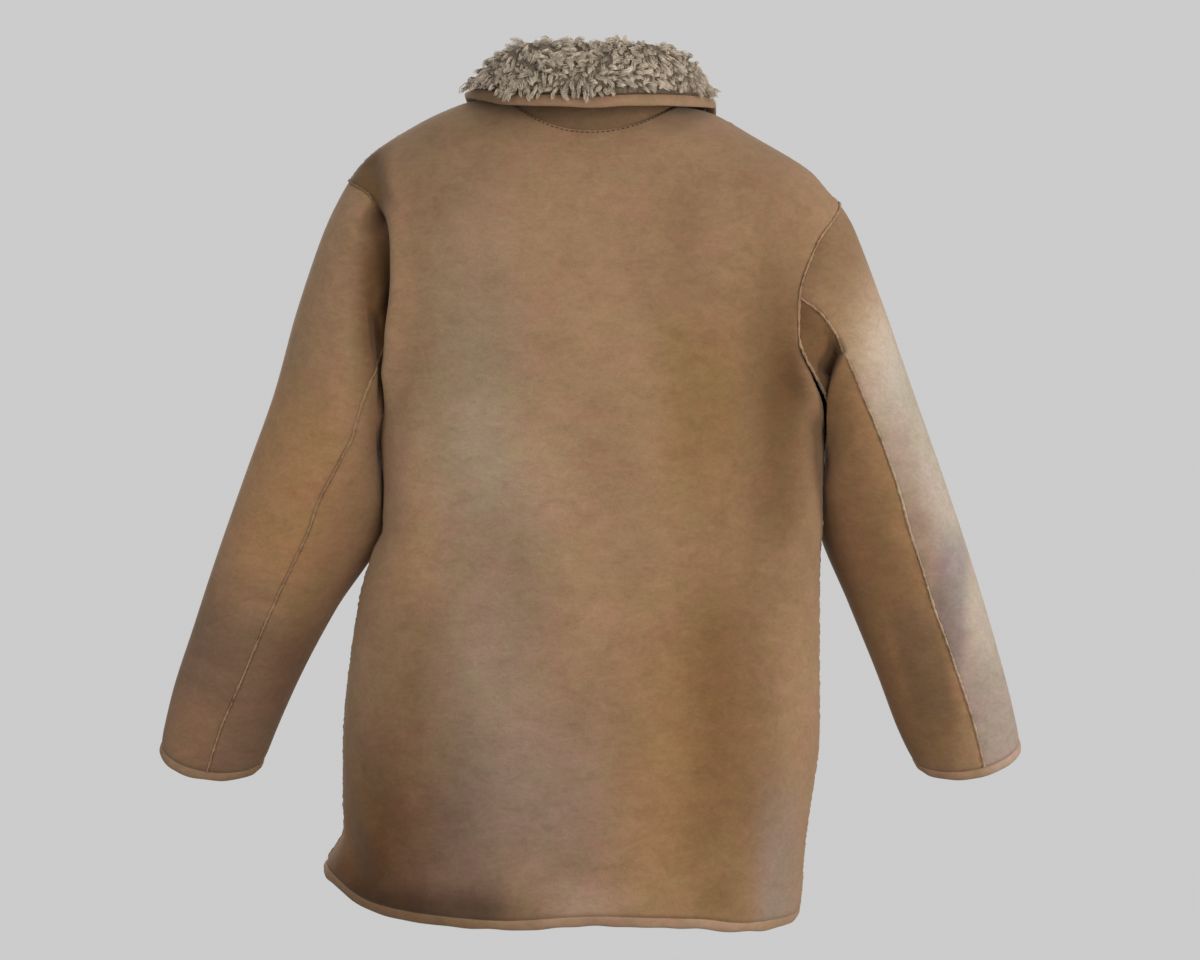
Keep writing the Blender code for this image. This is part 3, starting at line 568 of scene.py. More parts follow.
def bodySkin(s, rise, facing, lift=0.0):
    base = bodyPoint(s, rise, facing, lift)
    moved = creased(base)
    x, z = base[..., 0], base[..., 2]
    flicked(moved, z, x)
    if facing > 0:
        seamX = bodyX(np.where(x > 0, 1.0, -1.0), z)
        seam = np.stack([seamX, bodyY(seamX, z, 1), z], axis=-1)
        away = np.linalg.norm(base - seam, axis=-1)
        toBack = softStep(seam[..., 1] / backFade["seam"])
        share = between(roll["heights"], z) * (x > 0) * toBack
        under, swell = bell(away, roll["reach"]), bell(away - roll["swellAt"], roll["swellRun"])
        moved[..., 0] += share * (pairsAt(roll["swell"], z) * swell - roll["inward"] * under)
        moved[..., 1] += share * (roll["proud"] * swell - roll["down"] * under)
        share = between(underLift["heights"], z) * (x < 0) * toBack
        moved[..., 1] += share * underLift["up"] * bell(away, underLift["bodyReach"])
    return moved


# Meshes


def gridNormals(points):
    return unit(np.cross(np.gradient(points, axis=0), np.gradient(points, axis=1)))


def lumps(points, size=1.0, length=swells["length"], seed=swells["seed"]):
    # the uneven swell of pressed pile
    chance = np.random.default_rng(seed)
    total = np.zeros(points.shape[:-1])
    for _ in range(swells["count"]):
        way = unit(chance.normal(size=3)) * 2 * math.pi / (length * chance.uniform(*swells["spread"]))
        total += np.sin(points @ way + chance.uniform(0, anyPhase))
    return total / swells["even"] * size


def meshFrom(name, points, faces, looks, lookOf=None):
    # a smooth mesh piece from points in millimetres and rows of faces of one size
    data = bpy.data.meshes.new(name)
    data.vertices.add(len(points))
    data.vertices.foreach_set("co", (np.asarray(points) * mm).astype(np.float32).ravel())
    data.loops.add(faces.size)
    data.loops.foreach_set("vertex_index", faces.astype(np.int32).ravel())
    data.polygons.add(len(faces))
    data.polygons.foreach_set("loop_start", np.arange(0, faces.size, faces.shape[1], dtype=np.int32))
    for look in looks:
        data.materials.append(look)
    if lookOf is not None:
        data.polygons.foreach_set("material_index", lookOf.astype(np.int32))
    data.update(calc_edges=True)
    corner = np.asarray(points)[faces]
    volume = 0
    for k in range(2, faces.shape[1]):
        volume += np.einsum("ij,ij->i", corner[:, 0], np.cross(corner[:, k - 1], corner[:, k])).sum()
    if volume < 0:
        data.flip_normals()
    data.shade_smooth()
    made = bpy.data.objects.new(name, data)
    scene.collection.objects.link(made)
    return made


def faceRows(*corners):
    return np.stack(corners, axis=-1).reshape(-1, len(corners))


def wall(name, outside, inside, looks):
    # a closed wall between two grids; looks are the outside's and the inside's
    rows, columns = outside.shape[:2]
    points = np.concatenate([outside.reshape(-1, 3), inside.reshape(-1, 3)])
    shift = rows * columns
    at = np.arange(shift).reshape(rows, columns)
    outer = faceRows(at[:-1, :-1], at[1:, :-1], at[1:, 1:], at[:-1, 1:])
    inner = outer[:, ::-1] + shift
    rim = np.concatenate([
        faceRows(at[:-1, 0], at[:-1, 0] + shift, at[1:, 0] + shift, at[1:, 0]),
        faceRows(at[:-1, -1], at[1:, -1], at[1:, -1] + shift, at[:-1, -1] + shift),
        faceRows(at[0, :-1], at[0, 1:], at[0, 1:] + shift, at[0, :-1] + shift),
        faceRows(at[-1, :-1], at[-1, :-1] + shift, at[-1, 1:] + shift, at[-1, 1:])])
    lookOf = np.repeat([0, 1, 0], [len(outer), len(inner), len(rim)])
    return meshFrom(name, points, np.concatenate([outer, inner, rim]), looks, lookOf)


def tube(name, loops, looks, closed=False):
    # a closed skin through loops of points, with its two ends filled by a middle point
    count, around = loops.shape[:2]
    points = loops.reshape(-1, 3)
    at = np.arange(count * around).reshape(count, around)
    a, b = (at, np.roll(at, -1, axis=0)) if closed else (at[:-1], at[1:])
    c, d = np.roll(b, -1, axis=1), np.roll(a, -1, axis=1)
    faces = [faceRows(a, b, c), faceRows(a, c, d)]
    if not closed:
        points = np.concatenate([points, [loops[0].mean(0), loops[-1].mean(0)]])
        middle = np.full(around, count * around)
        faces += [faceRows(at[0], np.roll(at[0], -1), middle),
                  faceRows(np.roll(at[-1], -1), at[-1], middle + 1)]
    return meshFrom(name, points, np.concatenate(faces), looks)


def strandTubes(name, lines, radii, shade, look):
    # three-sided strands; lines: (strands, steps, 3); radii and shade: (strands, steps)
    count, steps = lines.shape[:2]
    sides = 3
    along = unit(np.gradient(lines, axis=1))
    first = unit(np.cross(along, [0.31, 0.77, 0.56]))    # any way that no strand follows
    second = np.cross(along, first)
    rings = []
    for k in range(sides):
        angle = 2 * math.pi * k / sides
        rings.append(lines + (first * math.cos(angle) + second * math.sin(angle)) * radii[..., None])
    points = np.stack(rings, axis=2).reshape(-1, 3)
    at = np.arange(count * steps * sides).reshape(count, steps, sides)
    beside = np.roll(at, -1, axis=2)
    a, b, c, d = at[:, :-1], beside[:, :-1], at[:, 1:], beside[:, 1:]
    faces = np.concatenate([faceRows(a, b, d), faceRows(a, d, c), at[:, 0, [0, 2, 1]], at[:, -1]])
    made = meshFrom(name, points, faces, [look])
    attribute = made.data.attributes.new("shade", "FLOAT", "POINT")
    attribute.data.foreach_set("value", np.repeat(shade, sides, axis=1).ravel().astype(np.float32))
    return made


def distances(points, axis):
    # length along the cloth from the first row or column, and to the last
    step = np.linalg.norm(np.diff(points, axis=axis), axis=-1)
    zero = np.zeros_like(np.take(step, [0], axis=axis))
    run = np.cumsum(np.concatenate([zero, step], axis=axis), axis=axis)
    return run, np.take(run, [-1], axis=axis) - run


def resampled(values, run, at):
    return np.stack([np.interp(at, run, values[:, i]) for i in range(3)], axis=-1)


clothEdge = {"dip": 1.3, "reach": 4.5}    # how deep and how far in the cloth dips where it is sewn
# how much the wall thins in a fold: the steepness that counts as full, its spread to its neighbours
foldedWall = {"steep": 0.2, "spread": 0.85, "rounds": 4, "thinned": 0.86}


def drawnDown(points, normal, edges):
    # edges are (axis, end): the axis to measure along, and 0 or 1 for its start or its end
    dip = np.zeros(points.shape[:-1])
    for axis, end in edges:
        dip = np.maximum(dip, np.exp(-distances(points, axis)[end] / clothEdge["reach"]))
    return points - normal * (dip * clothEdge["dip"])[..., None]


def innerSide(points, plain, thick):
    # the cloth's other side, drawn close to this one where a fold is steep
    folded = turnedOut(gridNormals(points), plain)
    steep = 1 - (folded * plain).sum(-1)
    for _ in range(foldedWall["rounds"]):
        for axis in (0, 1):
            beside = np.maximum(np.roll(steep, 1, axis=axis), np.roll(steep, -1, axis=axis))
            steep = np.maximum(steep, foldedWall["spread"] * beside)
    share = softStep(steep / foldedWall["steep"])
    normal = unit(plain + (folded - plain) * share[..., None])
    return points - normal * (thick * (1 - foldedWall["thinned"] * share))[..., None]


def rideAll(pieces):
    for piece in pieces:
        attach(piece, "root")


# Finishes


def linear(red, green, blue):
    # a screen colour of 0 to 255 as a linear one
    share = [value / 255 for value in (red, green, blue)]
    return tuple(s / 12.92 if s <= 0.04045 else ((s + 0.055) / 1.055)**2.4 for s in share) + (1.0,)


class Nodes:
    # short hand for adding and joining nodes in one tree
    def __init__(self, tree):
        self.tree = tree

    def add(self, kind, values=None, **settings):
        node = self.tree.nodes.new(kind)
        for name, value in settings.items():
            setattr(node, name, value)
        for key, value in (values or {}).items():
            if isinstance(value, bpy.types.NodeSocket):
                self.join(value, node, key)
            else:
                node.inputs[key].default_value = value
        return node

    def join(self, value, node, name):
        self.tree.links.new(value, node.inputs[name])

    def place(self):
        return self.add("ShaderNodeTexCoord").outputs["Object"]

    def math(self, how, a, b=0.0, clamp=False):
        return self.add("ShaderNodeMath", {0: a, 1: b}, operation=how, use_clamp=clamp).outputs[0]

    def swing(self, value, size):
        # a value of 0 to 1 turned into one about 0
        return self.math("MULTIPLY", self.math("SUBTRACT", value, 0.5), size)

    def vector(self, how, a, b):
        return self.add("ShaderNodeVectorMath", {0: a, 1: b}, operation=how).outputs[0]

    def noise(self, place, scale, detail=2.0, rough=0.5, distortion=0.0):
        values = {"Vector": place, "Scale": scale, "Detail": detail, "Roughness": rough,
                  "Distortion": distortion}
        return self.add("ShaderNodeTexNoise", values).outputs["Fac"]

    def mix(self, share, a, b, how="MIX"):
        mixed = self.add("ShaderNodeMix", {0: share, 6: a, 7: b}, data_type="RGBA", blend_type=how)
        return mixed.outputs[2]

    def ramp(self, value, low, high, outLow=0.0, outHigh=1.0):
        values = {"Value": value, "From Min": low, "From Max": high, "To Min": outLow,
                  "To Max": outHigh}
        return self.add("ShaderNodeMapRange", values, clamp=True).outputs["Result"]

    def bump(self, shader, strength, reach, height):
        values = {"Strength": strength, "Distance": reach, "Height": height}
        self.join(self.add("ShaderNodeBump", values).outputs["Normal"], shader, "Normal")


def newGroup(name, inputs, outputs):
    group = bpy.data.node_groups.new(name, "ShaderNodeTree")
    for label, kind, value in inputs:
        socket = group.interface.new_socket(label, in_out="INPUT", socket_type="NodeSocket" + kind)
        if value is not None:
            socket.default_value = value
    for label, kind in outputs:
        group.interface.new_socket(label, in_out="OUTPUT", socket_type="NodeSocket" + kind)
    nodes = Nodes(group)
    return group, nodes, nodes.add("NodeGroupInput").outputs, nodes.add("NodeGroupOutput")


# The nap's noises, as scale, detail, roughness and distortion, and their shares of its tone
napNoises = {"broad": (10.0, 4.0, 0.6, 0.5), "strokes": (62.0, 5.0, 0.7, 0.6),
             "mottle": (230.0, 3.0, 0.65), "grain": (760.0, 2.0, 0.7), "hue": (30.0, 4.0, 0.6, 0.4)}
napShares = {"broad": 0.45, "mottle": 0.45, "grain": 0.55, "rough": 0.3}
napStretch = (0.7, 0.85, 1.2)
hueRange = (0.35, 0.65)
hueCasts = ((1.04, 0.985, 1.03, 1), (0.965, 1.015, 0.95, 1))    # the suede's tone is multiplied by these
napSheen = (236, 224, 206)
napBump = {"strength": 0.3, "reach": 0.0006}
patchWander = (13.0, 4.0, 0.62)


def makeNapGroup():
    # brushed nap: strokes, scuffs and grain as one tone, a height and a roughness
    group, nodes, given, made = newGroup(
        "brushedNap",
        (("Stroke", "Float", 0.5), ("Grain", "Float", 0.5), ("Rough Base", "Float", 0.85)),
        (("Tone", "Float"), ("Height", "Float"), ("Roughness", "Float"), ("Hue", "Float")))
    place = nodes.place()
    wide = nodes.add("ShaderNodeMapping", {"Vector": place, "Scale": napStretch}).outputs[0]
    noise = {name: nodes.noise(wide if name in ("strokes", "mottle") else place, *values)
             for name, values in napNoises.items()}
    strokeTone = nodes.swing(noise["strokes"], given["Stroke"])
    broadTone = nodes.swing(noise["broad"], nodes.math("MULTIPLY", given["Stroke"], napShares["broad"]))
    fine = nodes.math("ADD", *(nodes.math("MULTIPLY", noise[name], napShares[name])
                               for name in ("mottle", "grain")))
    fineTone = nodes.swing(fine, given["Grain"])
    tone = nodes.math("ADD", nodes.math("ADD", strokeTone, broadTone), nodes.math("ADD", fineTone, 0.5))
    rough = nodes.math("MULTIPLY", strokeTone, napShares["rough"])
    for name, value in (("Tone", tone), ("Height", fine), ("Hue", nodes.ramp(noise["hue"], *hueRange)),
                        ("Roughness", nodes.math("ADD", given["Rough Base"], rough))):
        nodes.join(value, made, name)
    return group


def makePatchGroup():
    # a soft-edged place on the cloth, as a mask for painted light and shade
    group, nodes, given, made = newGroup(
        "softPatch",
        (("Centre", "Vector", None), ("Size", "Vector", None), ("Tilt", "Float", 0.0),
         ("Soft", "Float", 0.6), ("Ragged", "Float", 0.2)),
        (("Mask", "Float"),))
    place = nodes.place()
    moved = nodes.vector("SUBTRACT", place, given["Centre"])
    turned = nodes.add("ShaderNodeVectorRotate", {"Vector": moved, "Angle": given["Tilt"]},
                       rotation_type="Y_AXIS").outputs[0]
    parts = nodes.add("ShaderNodeSeparateXYZ", {0: nodes.vector("DIVIDE", turned, given["Size"])})
    wander = nodes.swing(nodes.noise(place, *patchWander), given["Ragged"])
    inner = nodes.math("SUBTRACT", 1.0, given["Soft"])
    mask = 1.0
    for axis in ("X", "Y", "Z"):
        away = nodes.math("ADD", nodes.math("ABSOLUTE", parts.outputs[axis]), wander)
        values = {"Value": away, "From Min": 1.0, "From Max": inner}
        part = nodes.add("ShaderNodeMapRange", values, interpolation_type="SMOOTHSTEP")
        mask = nodes.math("MULTIPLY", mask, part.outputs["Result"])
    nodes.join(mask, made, "Mask")
    return group


curlShape = {"stir": 120.0, "stirred": (0.02, 0.02, 0.02), "fine": (900.0, 3.0, 0.6, 1.5),
             "fineShare": 0.6, "tops": (-0.45, 0.35)}


def makeCurlGroup():
    # short curls of pile seen close: a height and a mask of the curls' tops
    group, nodes, given, made = newGroup(
        "pileCurls", (("Size", "Float", 180.0),), (("Height", "Float"), ("Tops", "Float")))
    place = nodes.place()
    stir = nodes.add("ShaderNodeTexNoise", {"Vector": place, "Scale": curlShape["stir"]})
    shifted = nodes.vector("MULTIPLY", stir.outputs["Color"], curlShape["stirred"])
    bent = nodes.vector("ADD", place, shifted)
    cells = nodes.add("ShaderNodeTexVoronoi", {"Vector": bent, "Scale": given["Size"]},
                      feature="SMOOTH_F1").outputs["Distance"]
    fine = nodes.math("MULTIPLY", nodes.noise(bent, *curlShape["fine"]), curlShape["fineShare"])
    height = nodes.math("SUBTRACT", fine, cells)
    nodes.join(height, made, "Height")
    nodes.join(nodes.ramp(height, *curlShape["tops"]), made, "Tops")
    return group


# Painted light and shade as seen on the coat: centre, half size, tilt, softness, raggedness, and the
# colour that the suede is multiplied by there. Below 1 is painted shade, above 1 painted light; the cool
# and warm tints stand in for the colour of the light.
suedeLook = {
    "dark": (129, 98, 70), "light": (168, 135, 104),
    "stroke": 0.95, "grain": 1.25, "rough": 0.9, "bump": 0.35,
    "places": (
        ("paintedCoolLightTop", (0.109, 0.12, -0.26), (0.075, 0.10, 0.24), 0.0, 1.0, 0.2, (0.98, 1.14, 1.30)),
        ("paintedCoolLightLow", (0.092, 0.12, -0.58), (0.085, 0.10, 0.29), 0.05, 0.9, 0.25, (0.95, 1.07, 1.32)),
        ("paintedWarmShadeTop", (-0.107, 0.12, -0.30), (0.066, 0.10, 0.15), 0.0, 0.8, 0.4, (0.83, 0.80, 0.65)),
        ("paintedWarmShadeLow", (-0.092, 0.12, -0.63), (0.10, 0.10, 0.27), 0.05, 0.9, 0.25, (0.87, 0.80, 0.66)),
        ("paintedLightWaist", (0.12, 0.12, -0.345), (0.17, 0.12, 0.11), 0.0, 1.0, 0.2, (1.26, 1.34, 1.44)),
        ("topLeftShade", (0.14, 0.09, -0.05), (0.11, 0.14, 0.10), 0.0, 0.9, 0.3, (0.80, 0.81, 0.82)),
        ("topRightShade", (-0.15, 0.09, -0.07), (0.10, 0.14, 0.10), 0.0, 0.9, 0.3, (0.84, 0.84, 0.84)),
        ("rightSideShade", (-0.187, 0.10, -0.30), (0.062, 0.16, 0.26), 0.0, 1.0, 0.15,
         (0.42, 0.36, 0.24)),
        ("rightBroadShade", (-0.150, 0.10, -0.32), (0.080, 0.16, 0.32), 0.0, 1.0, 0.4,
         (0.86, 0.83, 0.78)),
        ("rightStripShade", (-0.080, 0.12, -0.14), (0.06, 0.10, 0.13), -0.1, 1.0, 0.3,
         (0.76, 0.75, 0.73)),
        ("leftShoulderShade", (0.220, 0.05, -0.075), (0.034, 0.12, 0.06), 0.0, 0.7, 0.2,
         (0.48, 0.42, 0.32)),
        ("paintedLightLeftWaist", (0.178, 0.12, -0.42), (0.05, 0.10, 0.13), 0.0, 0.9, 0.2, (1.40, 1.38, 1.32)),
        ("lowLeftShade", (0.230, 0.12, -0.74), (0.12, 0.20, 0.22), 0.35, 0.95, 0.3, (0.39, 0.28, 0.19)),
        ("hemLeftShade", (0.20, 0.12, -0.80), (0.11, 0.20, 0.09), 0.5, 0.9, 0.25, (0.46, 0.42, 0.42)),
        ("lowerShadeLeft", (0.13, 0.13, -0.73), (0.10, 0.10, 0.17), 0.1, 0.95, 0.4, (0.70, 0.68, 0.76)),
        ("hemShade", (0.13, 0.13, -0.778), (0.13, 0.10, 0.034), 0.03, 0.9, 0.2, (0.56, 0.52, 0.50)),
        ("paintedCoolShadeLowMiddle", (0.02, 0.13, -0.68), (0.07, 0.10, 0.17), 0.0, 1.0, 0.2, (0.84, 0.89, 1.10)),
        ("lowRightShade", (-0.140, 0.12, -0.60), (0.075, 0.12, 0.25), 0.0, 0.85, 0.25,
         (0.70, 0.65, 0.58)),
        ("paintedWarmShadeLowLeft", (0.19, 0.12, -0.54), (0.065, 0.12, 0.15), 0.0, 1.0, 0.2, (0.76, 0.73, 0.70)),
        ("paintedLightHemMiddle", (0.0, 0.13, -0.775), (0.06, 0.10, 0.04), 0.0, 0.9, 0.2, (1.24, 1.32, 1.50)),
        ("hemRightShade", (-0.125, 0.13, -0.77), (0.045, 0.10, 0.05), 0.0, 1.0, 0.2, (0.76, 0.74, 0.62)),
        ("hemMiddleShade", (0.098, 0.13, -0.772), (0.040, 0.10, 0.04), 0.0, 1.0, 0.2,
         (0.68, 0.66, 0.68)),
        ("paintedCoolLightEdgeRight", (-0.185, 0.12, -0.76), (0.04, 0.12, 0.14), 0.0, 0.8, 0.3, (0.90, 1.08, 1.50)),
    ),
}
# Painted light and shade on the sleeves, in the same form: painted sheen on the right sleeve's outer
# side, painted shadow and shade elsewhere.
sleevePlaces = {
    "left_sleeve": (
        ("valleyShade", (0.203, 0.06, -0.195), (0.034, 0.10, 0.14), 0.0, 0.85, 0.15, (0.42, 0.35, 0.24)),
        ("paintedShadeLowSleeve", (0.35, -0.04, -0.61), (0.16, 0.20, 0.16), 0.5, 0.6, 0.25, (0.68, 0.66, 0.72)),
        ("paintedLightOuterCuff", (0.415, -0.07, -0.63), (0.05, 0.20, 0.07), 0.4, 0.8, 0.25, (1.28, 1.22, 1.12)),
        ("shadedUnder", (0.27, 0.02, -0.50), (0.05, 0.10, 0.16), 0.35, 0.8, 0.2, (0.90, 0.86, 0.80)),
        ("paintedLightMiddleSleeve", (0.30, 0.02, -0.38), (0.09, 0.12, 0.17), 0.3, 0.8, 0.3, (1.16, 1.06, 0.88)),
    ),
    "right_top_sleeve": (
        ("capShade", (-0.243, 0.06, -0.16), (0.06, 0.12, 0.10), 0.0, 0.9, 0.2, (0.74, 0.73, 0.68)),
        ("paintedSheenOuter", (-0.39, 0.0, -0.45), (0.16, 0.20, 0.32), 0.0, 0.5, 0.12, (1.44, 2.02, 2.98)),
        ("paintedSheenUpper", (-0.278, 0.03, -0.225), (0.065, 0.15, 0.14), 0.3, 1.0, 0.12, (1.38, 1.52, 1.62)),
        ("paintedShadeBesideSeam", (-0.327, 0.0, -0.435), (0.040, 0.20, 0.29), -0.32, 1.0, 0.1, (0.64, 0.51, 0.45)),
        ("paintedShadowTip", (-0.360, 0.0, -0.49), (0.025, 0.10, 0.095), 0.06, 0.6, 0.2, (0.70, 0.70, 0.80)),
        ("paintedShadeLowOuter", (-0.42, 0.0, -0.62), (0.08, 0.20, 0.12), 0.0, 0.8, 0.3, (0.78, 0.74, 0.76)),
    ),
    "right_under_sleeve": (
        ("gussetShade", (-0.215, 0.06, -0.245), (0.05, 0.10, 0.10), 0.0, 0.7, 0.15, (0.55, 0.50, 0.40)),
        ("innerShade", (-0.29, 0.03, -0.46), (0.12, 0.16, 0.30), 0.0, 0.5, 0.15, (0.80, 0.73, 0.62)),
        ("paintedShadowWedge", (-0.335, 0.0, -0.555), (0.028, 0.10, 0.085), -0.25, 0.5, 0.2, (0.72, 0.76, 0.82)),
        ("innerCuffShade", (-0.345, -0.04, -0.645), (0.07, 0.20, 0.06), 0.0, 0.9, 0.2,
         (0.86, 0.86, 0.86)),
    ),
}
edgeLook = {
    "dark": (118, 90, 64), "light": (184, 150, 116), "stroke": 1.2, "grain": 1.2, "rough": 0.9,
    # painted shade on the left armhole's seam, painted light on the right sleeve's seams
    "places": (
        ("leftSeamShade", (0.21, 0.03, -0.16), (0.055, 0.15, 0.14), 0.0, 0.6, 0.2, (0.55, 0.50, 0.44)),
        ("paintedLightSeamRight", (-0.37, 0.0, -0.45), (0.16, 0.20, 0.28), 0.0, 0.5, 0.15, (1.25, 1.45, 1.75)),
    ),
}
bindingLook = {
    "dark": (122, 92, 68), "light": (168, 136, 108), "stroke": 0.8, "grain": 0.9, "rough": 0.85,
    # painted shade at the low left hem and the collar's left end, painted light and sheen on the middle
    # hem and the right cuff
    "places": (
        ("bindingPaintedShadeLowLeft", (0.20, 0.10, -0.79), (0.17, 0.20, 0.06), 0.0, 0.9, 0.2, (0.62, 0.58, 0.53)),
        ("bindingPaintedLightLowMiddle", (-0.07, 0.12, -0.79), (0.16, 0.16, 0.05), 0.0, 0.6, 0.2,
         (1.16, 1.20, 1.30)),
        ("bindingPaintedSheenCuffRight", (-0.435, -0.05, -0.66), (0.045, 0.20, 0.06), 0.0, 0.8, 0.2,
         (1.30, 1.50, 1.90)),
        ("bindingPaintedShadeCollarLeft", (0.115, 0.08, 0.0), (0.05, 0.10, 0.03), 0.0, 0.8, 0.2, (0.62, 0.58, 0.50)),
    ),
}
# the collar's suede, darker all over: painted shade cast by the fall onto the stand
shadedStandLook = {**suedeLook, "dark": (96, 73, 51), "light": (128, 102, 76), "places": ()}
# the pile, darkest in the hollows between its curls, which is painted shade
pileLook = {"dark": (70, 55, 41), "light": (156, 136, 111), "size": 190.0, "bump": 0.9,
            "reach": 0.003, "cloud": (26.0, 3.0), "cloudy": 0.5,
            "surface": {"Roughness": 0.95, "Specular IOR Level": 0.1, "Sheen Weight": 0.4,
                        "Sheen Roughness": 0.6}, "sheen": (230, 220, 204)}
# dark at the roots, light at the tips: painted shade deep in the pile between the locks
lockLook = {"dark": (80, 64, 47), "light": (242, 226, 204), "cloud": (30.0, 3.0), "cloudy": 0.35,
            "surface": {"Roughness": 0.6, "Specular IOR Level": 0.25, "Sheen Weight": 0.25},
            "sheen": (236, 226, 210)}
threadLook = {"dark": (58, 40, 28), "light": (92, 66, 46), "stroke": 0.3, "grain": 0.8, "rough": 0.7}
hornLook = {"dark": (38, 26, 19), "light": (92, 62, 40), "streaks": (160.0, 4.0, 0.6, 2.5),
            "range": (0.35, 0.7), "rough": (0.24, 0.42), "bump": 0.15, "reach": 0.0003,
            "plain": 0.32}    # the roughness where no streaks are read


def newMaterial(name, values):
    # a material with fixed values on its shader's own sockets
    made = bpy.data.materials.new(name)
    made.use_nodes = True
    made.diffuse_color = values["Base Color"]
    shader = made.node_tree.nodes["Principled BSDF"]
    for socket, value in values.items():
        shader.inputs[socket].default_value = value
    return made, Nodes(made.node_tree), shader


patchSockets = ("Centre", "Size", "Tilt", "Soft", "Ragged")


def napMaterial(name, look, sheen=0.2):
    made, nodes, shader = newMaterial(name, {
        "Base Color": linear(*look["light"]), "Roughness": look["rough"], "Specular IOR Level": 0.15,
        "Sheen Weight": sheen, "Sheen Tint": linear(*napSheen)})
    values = {"Stroke": look["stroke"], "Grain": look["grain"], "Rough Base": look["rough"]}
    brushed = nodes.add("ShaderNodeGroup", values, node_tree=napGroup).outputs
    colour = nodes.mix(brushed["Tone"], linear(*look["dark"]), linear(*look["light"]))
    cast = nodes.mix(brushed["Hue"], *hueCasts)
    colour = nodes.mix(1.0, colour, cast, "MULTIPLY")
    # painted light and shade: each place multiplies the colour by its tint within a soft mask
    for label, *placed, tint in look.get("places", ()):
        place = nodes.add("ShaderNodeGroup", dict(zip(patchSockets, placed)), node_tree=patchGroup,
                          label=label)
        tinted = nodes.mix(1.0, colour, (*tint, 1), "MULTIPLY")
        colour = nodes.mix(place.outputs["Mask"], colour, tinted)
    nodes.join(colour, shader, "Base Color")
    nodes.join(brushed["Roughness"], shader, "Roughness")
    strength = look.get("bump", napBump["strength"])
    nodes.bump(shader, strength, napBump["reach"], brushed["Height"])
    return made


def cloudedMaterial(name, look, toneOf):
    # a material between two tones, by a tone of 0 to 1 and soft clouds over it
    dark, light = linear(*look["dark"]), linear(*look["light"])
    made, nodes, shader = newMaterial(name, {"Base Color": light, **look["surface"],
                                             "Sheen Tint": linear(*look["sheen"])})
    cloudy = nodes.swing(nodes.noise(nodes.place(), *look["cloud"]), look["cloudy"])
    tone = nodes.math("ADD", toneOf(nodes, shader), cloudy, clamp=True)
    nodes.join(nodes.mix(tone, dark, light), shader, "Base Color")
    return made


def curlTone(nodes, shader):
    curl = nodes.add("ShaderNodeGroup", {"Size": pileLook["size"]}, node_tree=curlGroup).outputs
    nodes.bump(shader, pileLook["bump"], pileLook["reach"], curl["Height"])
    # the curls' tops take the light tone and the hollows between them painted shade
    return curl["Tops"]


def strandTone(nodes, _):
    return nodes.add("ShaderNodeAttribute", attribute_name="shade").outputs["Fac"]


def hornMaterial():
    dark, light = linear(*hornLook["dark"]), linear(*hornLook["light"])
    made, nodes, shader = newMaterial("horn", {"Base Color": dark, "Roughness": hornLook["plain"]})
    streaks = nodes.noise(nodes.place(), *hornLook["streaks"])
    nodes.join(nodes.mix(nodes.ramp(streaks, *hornLook["range"]), dark, light), shader, "Base Color")
    nodes.join(nodes.ramp(streaks, 0.2, 0.8, *hornLook["rough"]), shader, "Roughness")
    nodes.bump(shader, hornLook["bump"], hornLook["reach"], streaks)
    return made


napGroup, patchGroup, curlGroup = makeNapGroup(), makePatchGroup(), makeCurlGroup()
suede = napMaterial("brushed_suede", suedeLook)
# copies of the suede for the sleeves, each with its own painted light and shade
sleeveSuedes = {name: napMaterial("brushed_suede_" + name, {**suedeLook, "places": places})
                for name, places in sleevePlaces.items()}
shadedStandSuede = napMaterial("brushed_suede_collar_painted_shade", shadedStandLook)
rawEdge = napMaterial("raw_suede_edge", edgeLook)
boundEdge = napMaterial("binding_suede", bindingLook)
thread = napMaterial("thread", threadLook, sheen=0.1)
pile = cloudedMaterial("teddy_pile", pileLook, curlTone)
locks = cloudedMaterial("teddy_locks", lockLook, strandTone)
horn = hornMaterial()
print("finishes made")


# Body panels

pileSwell = 0.5          # how much the pressed pile changes the cloth's thickness
seamHalfGap = 0.02


def halfColumns(side):
    inner = cut["neckColumn"] * np.sin(np.linspace(0, math.pi / 2, mesh["neck"] + 1))
    outer = np.linspace(cut["neckColumn"], 1, mesh["shoulder"] + 1)[1:]
    return side * np.concatenate([inner, outer])


def panelRises(columns, facing):
    share = 1 - cut["binding"] / (cut["underarmZ"] - np.mean(hemZ(columns, facing)))
    below = np.linspace(-share, 0, mesh["skirt"] + 1)[:-1]
    return np.concatenate([below, armholeRise(np.linspace(0.5, 0, mesh["armhole"] + 1))])


def makePanel(name, columns, facing, lift=0.0):
    a, b = np.meshgrid(columns, panelRises(columns, facing), indexing="ij")
    points = bodySkin(a, b, facing, lift)
    normal = turnedOut(gridNormals(bodyPoint(a, b, facing, lift)), [0, facing, 0])
    edges = [(1, 0), (1, 1)] + [(0, end) for end in (0, 1) if abs(columns[-end]) == 1]
    points = drawnDown(points, normal, edges)
    inside = innerSide(points, normal, cut["cloth"] + pileSwell * lumps(points))
    for grid in (points, inside):
        # the back and the fronts keep to their own sides
        grid[..., 1] = facing * np.maximum(facing * grid[..., 1], seamHalfGap)
    made = wall(name, points, inside, [suede, pile])
    return made, points, normal, unit(points[:, 0] - points[:, 1])


bindingForm = {
    # half section: share of the width, share of the half thickness
    "section": ((0.0, 0.40), (0.03, 0.62), (0.10, 0.80), (0.22, 0.94), (0.40, 1.0), (0.58, 0.98),
                (0.74, 0.86), (0.87, 0.64), (0.96, 0.36), (1.0, 0.0)),
    # unevenness: how many waves, their least counts, the shortest, their share of thickness and width
    "waves": 12, "counts": (3, 8), "shortest": 14, "puff": 0.028, "reach": 0.016,
}


def lengthAlong(points):
    return np.concatenate([[0], np.cumsum(np.linalg.norm(np.diff(points, axis=0), axis=-1))])


